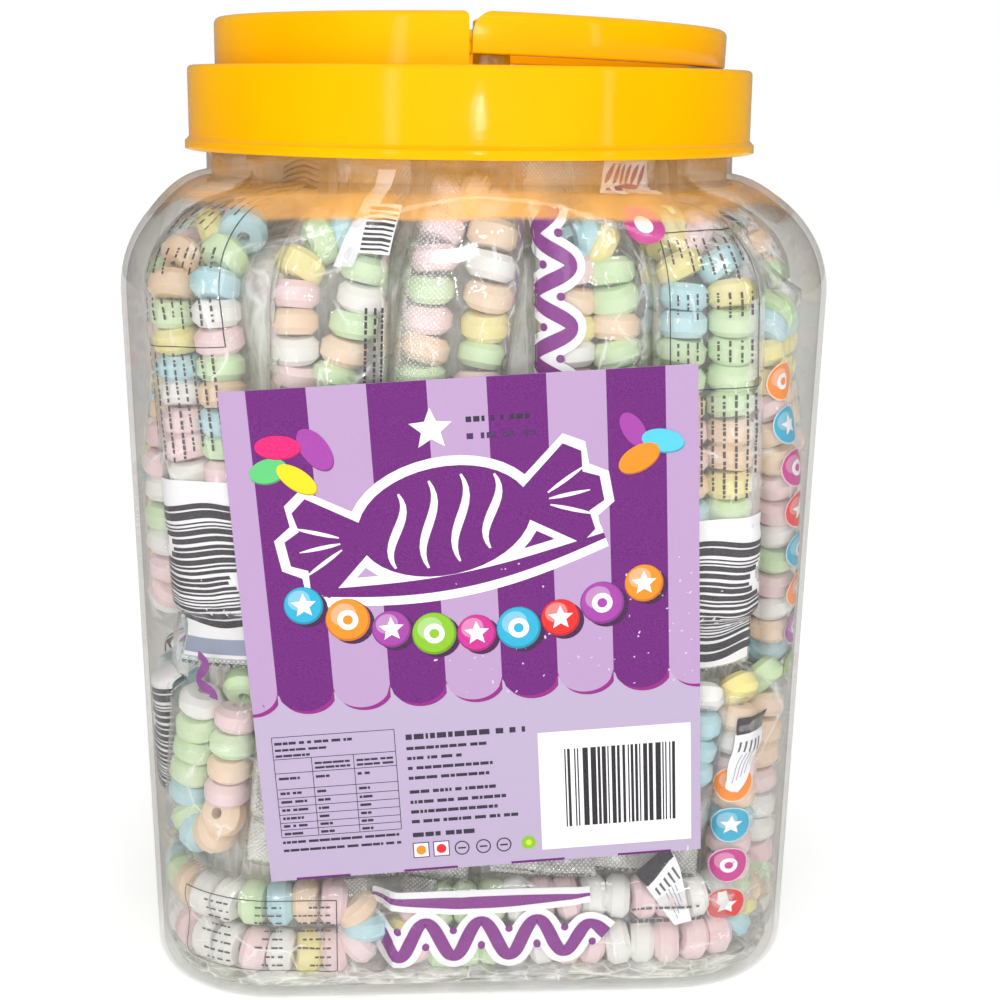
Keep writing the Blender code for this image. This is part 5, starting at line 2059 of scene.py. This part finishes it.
class CANDYJAR_OT_stage(bpy.types.Operator):
    """Make the camera, floor, surroundings and lights"""

    bl_idname = "candyjar.stage"
    bl_label = "Make Stage"

    def execute(self, context):
        make_stage()
        return {"FINISHED"}


class CANDYJAR_OT_jar(bpy.types.Operator):
    """Make the clear wall of the jar"""

    bl_idname = "candyjar.jar"
    bl_label = "Make Jar"

    def execute(self, context):
        make_jar()
        return {"FINISHED"}


class CANDYJAR_OT_lid(bpy.types.Operator):
    """Make the screw lid"""

    bl_idname = "candyjar.lid"
    bl_label = "Make Lid"

    def execute(self, context):
        make_lid()
        return {"FINISHED"}


class CANDYJAR_OT_handle(bpy.types.Operator):
    """Make the carry handle"""

    bl_idname = "candyjar.handle"
    bl_label = "Make Handle"

    def execute(self, context):
        make_handle()
        return {"FINISHED"}


class CANDYJAR_OT_label(bpy.types.Operator):
    """Make the printed label"""

    bl_idname = "candyjar.label"
    bl_label = "Make Label"

    def execute(self, context):
        make_label()
        return {"FINISHED"}


class CANDYJAR_OT_core(bpy.types.Operator):
    """Make the middle of the heap"""

    bl_idname = "candyjar.core"
    bl_label = "Make Heap Middle"

    def execute(self, context):
        make_core()
        return {"FINISHED"}


class CANDYJAR_OT_beads(bpy.types.Operator):
    """Make the threaded beads"""

    bl_idname = "candyjar.beads"
    bl_label = "Make Beads"

    def execute(self, context):
        make_beads()
        return {"FINISHED"}


class CANDYJAR_OT_films(bpy.types.Operator):
    """Make the clear wraps"""

    bl_idname = "candyjar.films"
    bl_label = "Make Wraps"

    def execute(self, context):
        make_films()
        return {"FINISHED"}


class CANDYJAR_OT_prints(bpy.types.Operator):
    """Make the print on the wraps"""

    bl_idname = "candyjar.prints"
    bl_label = "Make Wrap Print"

    def execute(self, context):
        make_prints()
        return {"FINISHED"}


OPERATORS = (
    CANDYJAR_OT_stage,
    CANDYJAR_OT_jar,
    CANDYJAR_OT_lid,
    CANDYJAR_OT_handle,
    CANDYJAR_OT_label,
    CANDYJAR_OT_core,
    CANDYJAR_OT_beads,
    CANDYJAR_OT_films,
    CANDYJAR_OT_prints,
)


class CANDYJAR_PT_panel(bpy.types.Panel):
    """Lists what can be made"""

    bl_idname = "CANDYJAR_PT_panel"
    bl_label = "Candy Jar"
    bl_space_type = "VIEW_3D"
    bl_region_type = "UI"
    bl_category = "Candy Jar"

    def draw(self, context):
        for operator in OPERATORS:
            self.layout.operator(operator.bl_idname)


CLASSES = (StageSettings, JarSettings, LidSettings, LabelSettings, PackSettings, JarSceneSettings)
CLASSES += OPERATORS + (CANDYJAR_PT_panel,)


def register():
    for cls in CLASSES:
        bpy.utils.register_class(cls)
    bpy.types.Scene.candy_jar = PointerProperty(type=JarSceneSettings)


def unregister():
    del bpy.types.Scene.candy_jar
    for cls in reversed(CLASSES):
        bpy.utils.unregister_class(cls)


def plain(box):
    """A box as plain lists of numbers."""
    return [[float(value) for value in corner] for corner in box]


def main():
    register()
    for operator in OPERATORS:
        getattr(bpy.ops.candyjar, operator.bl_idname.split(".")[1])()


if __name__ == "__main__":
    main()
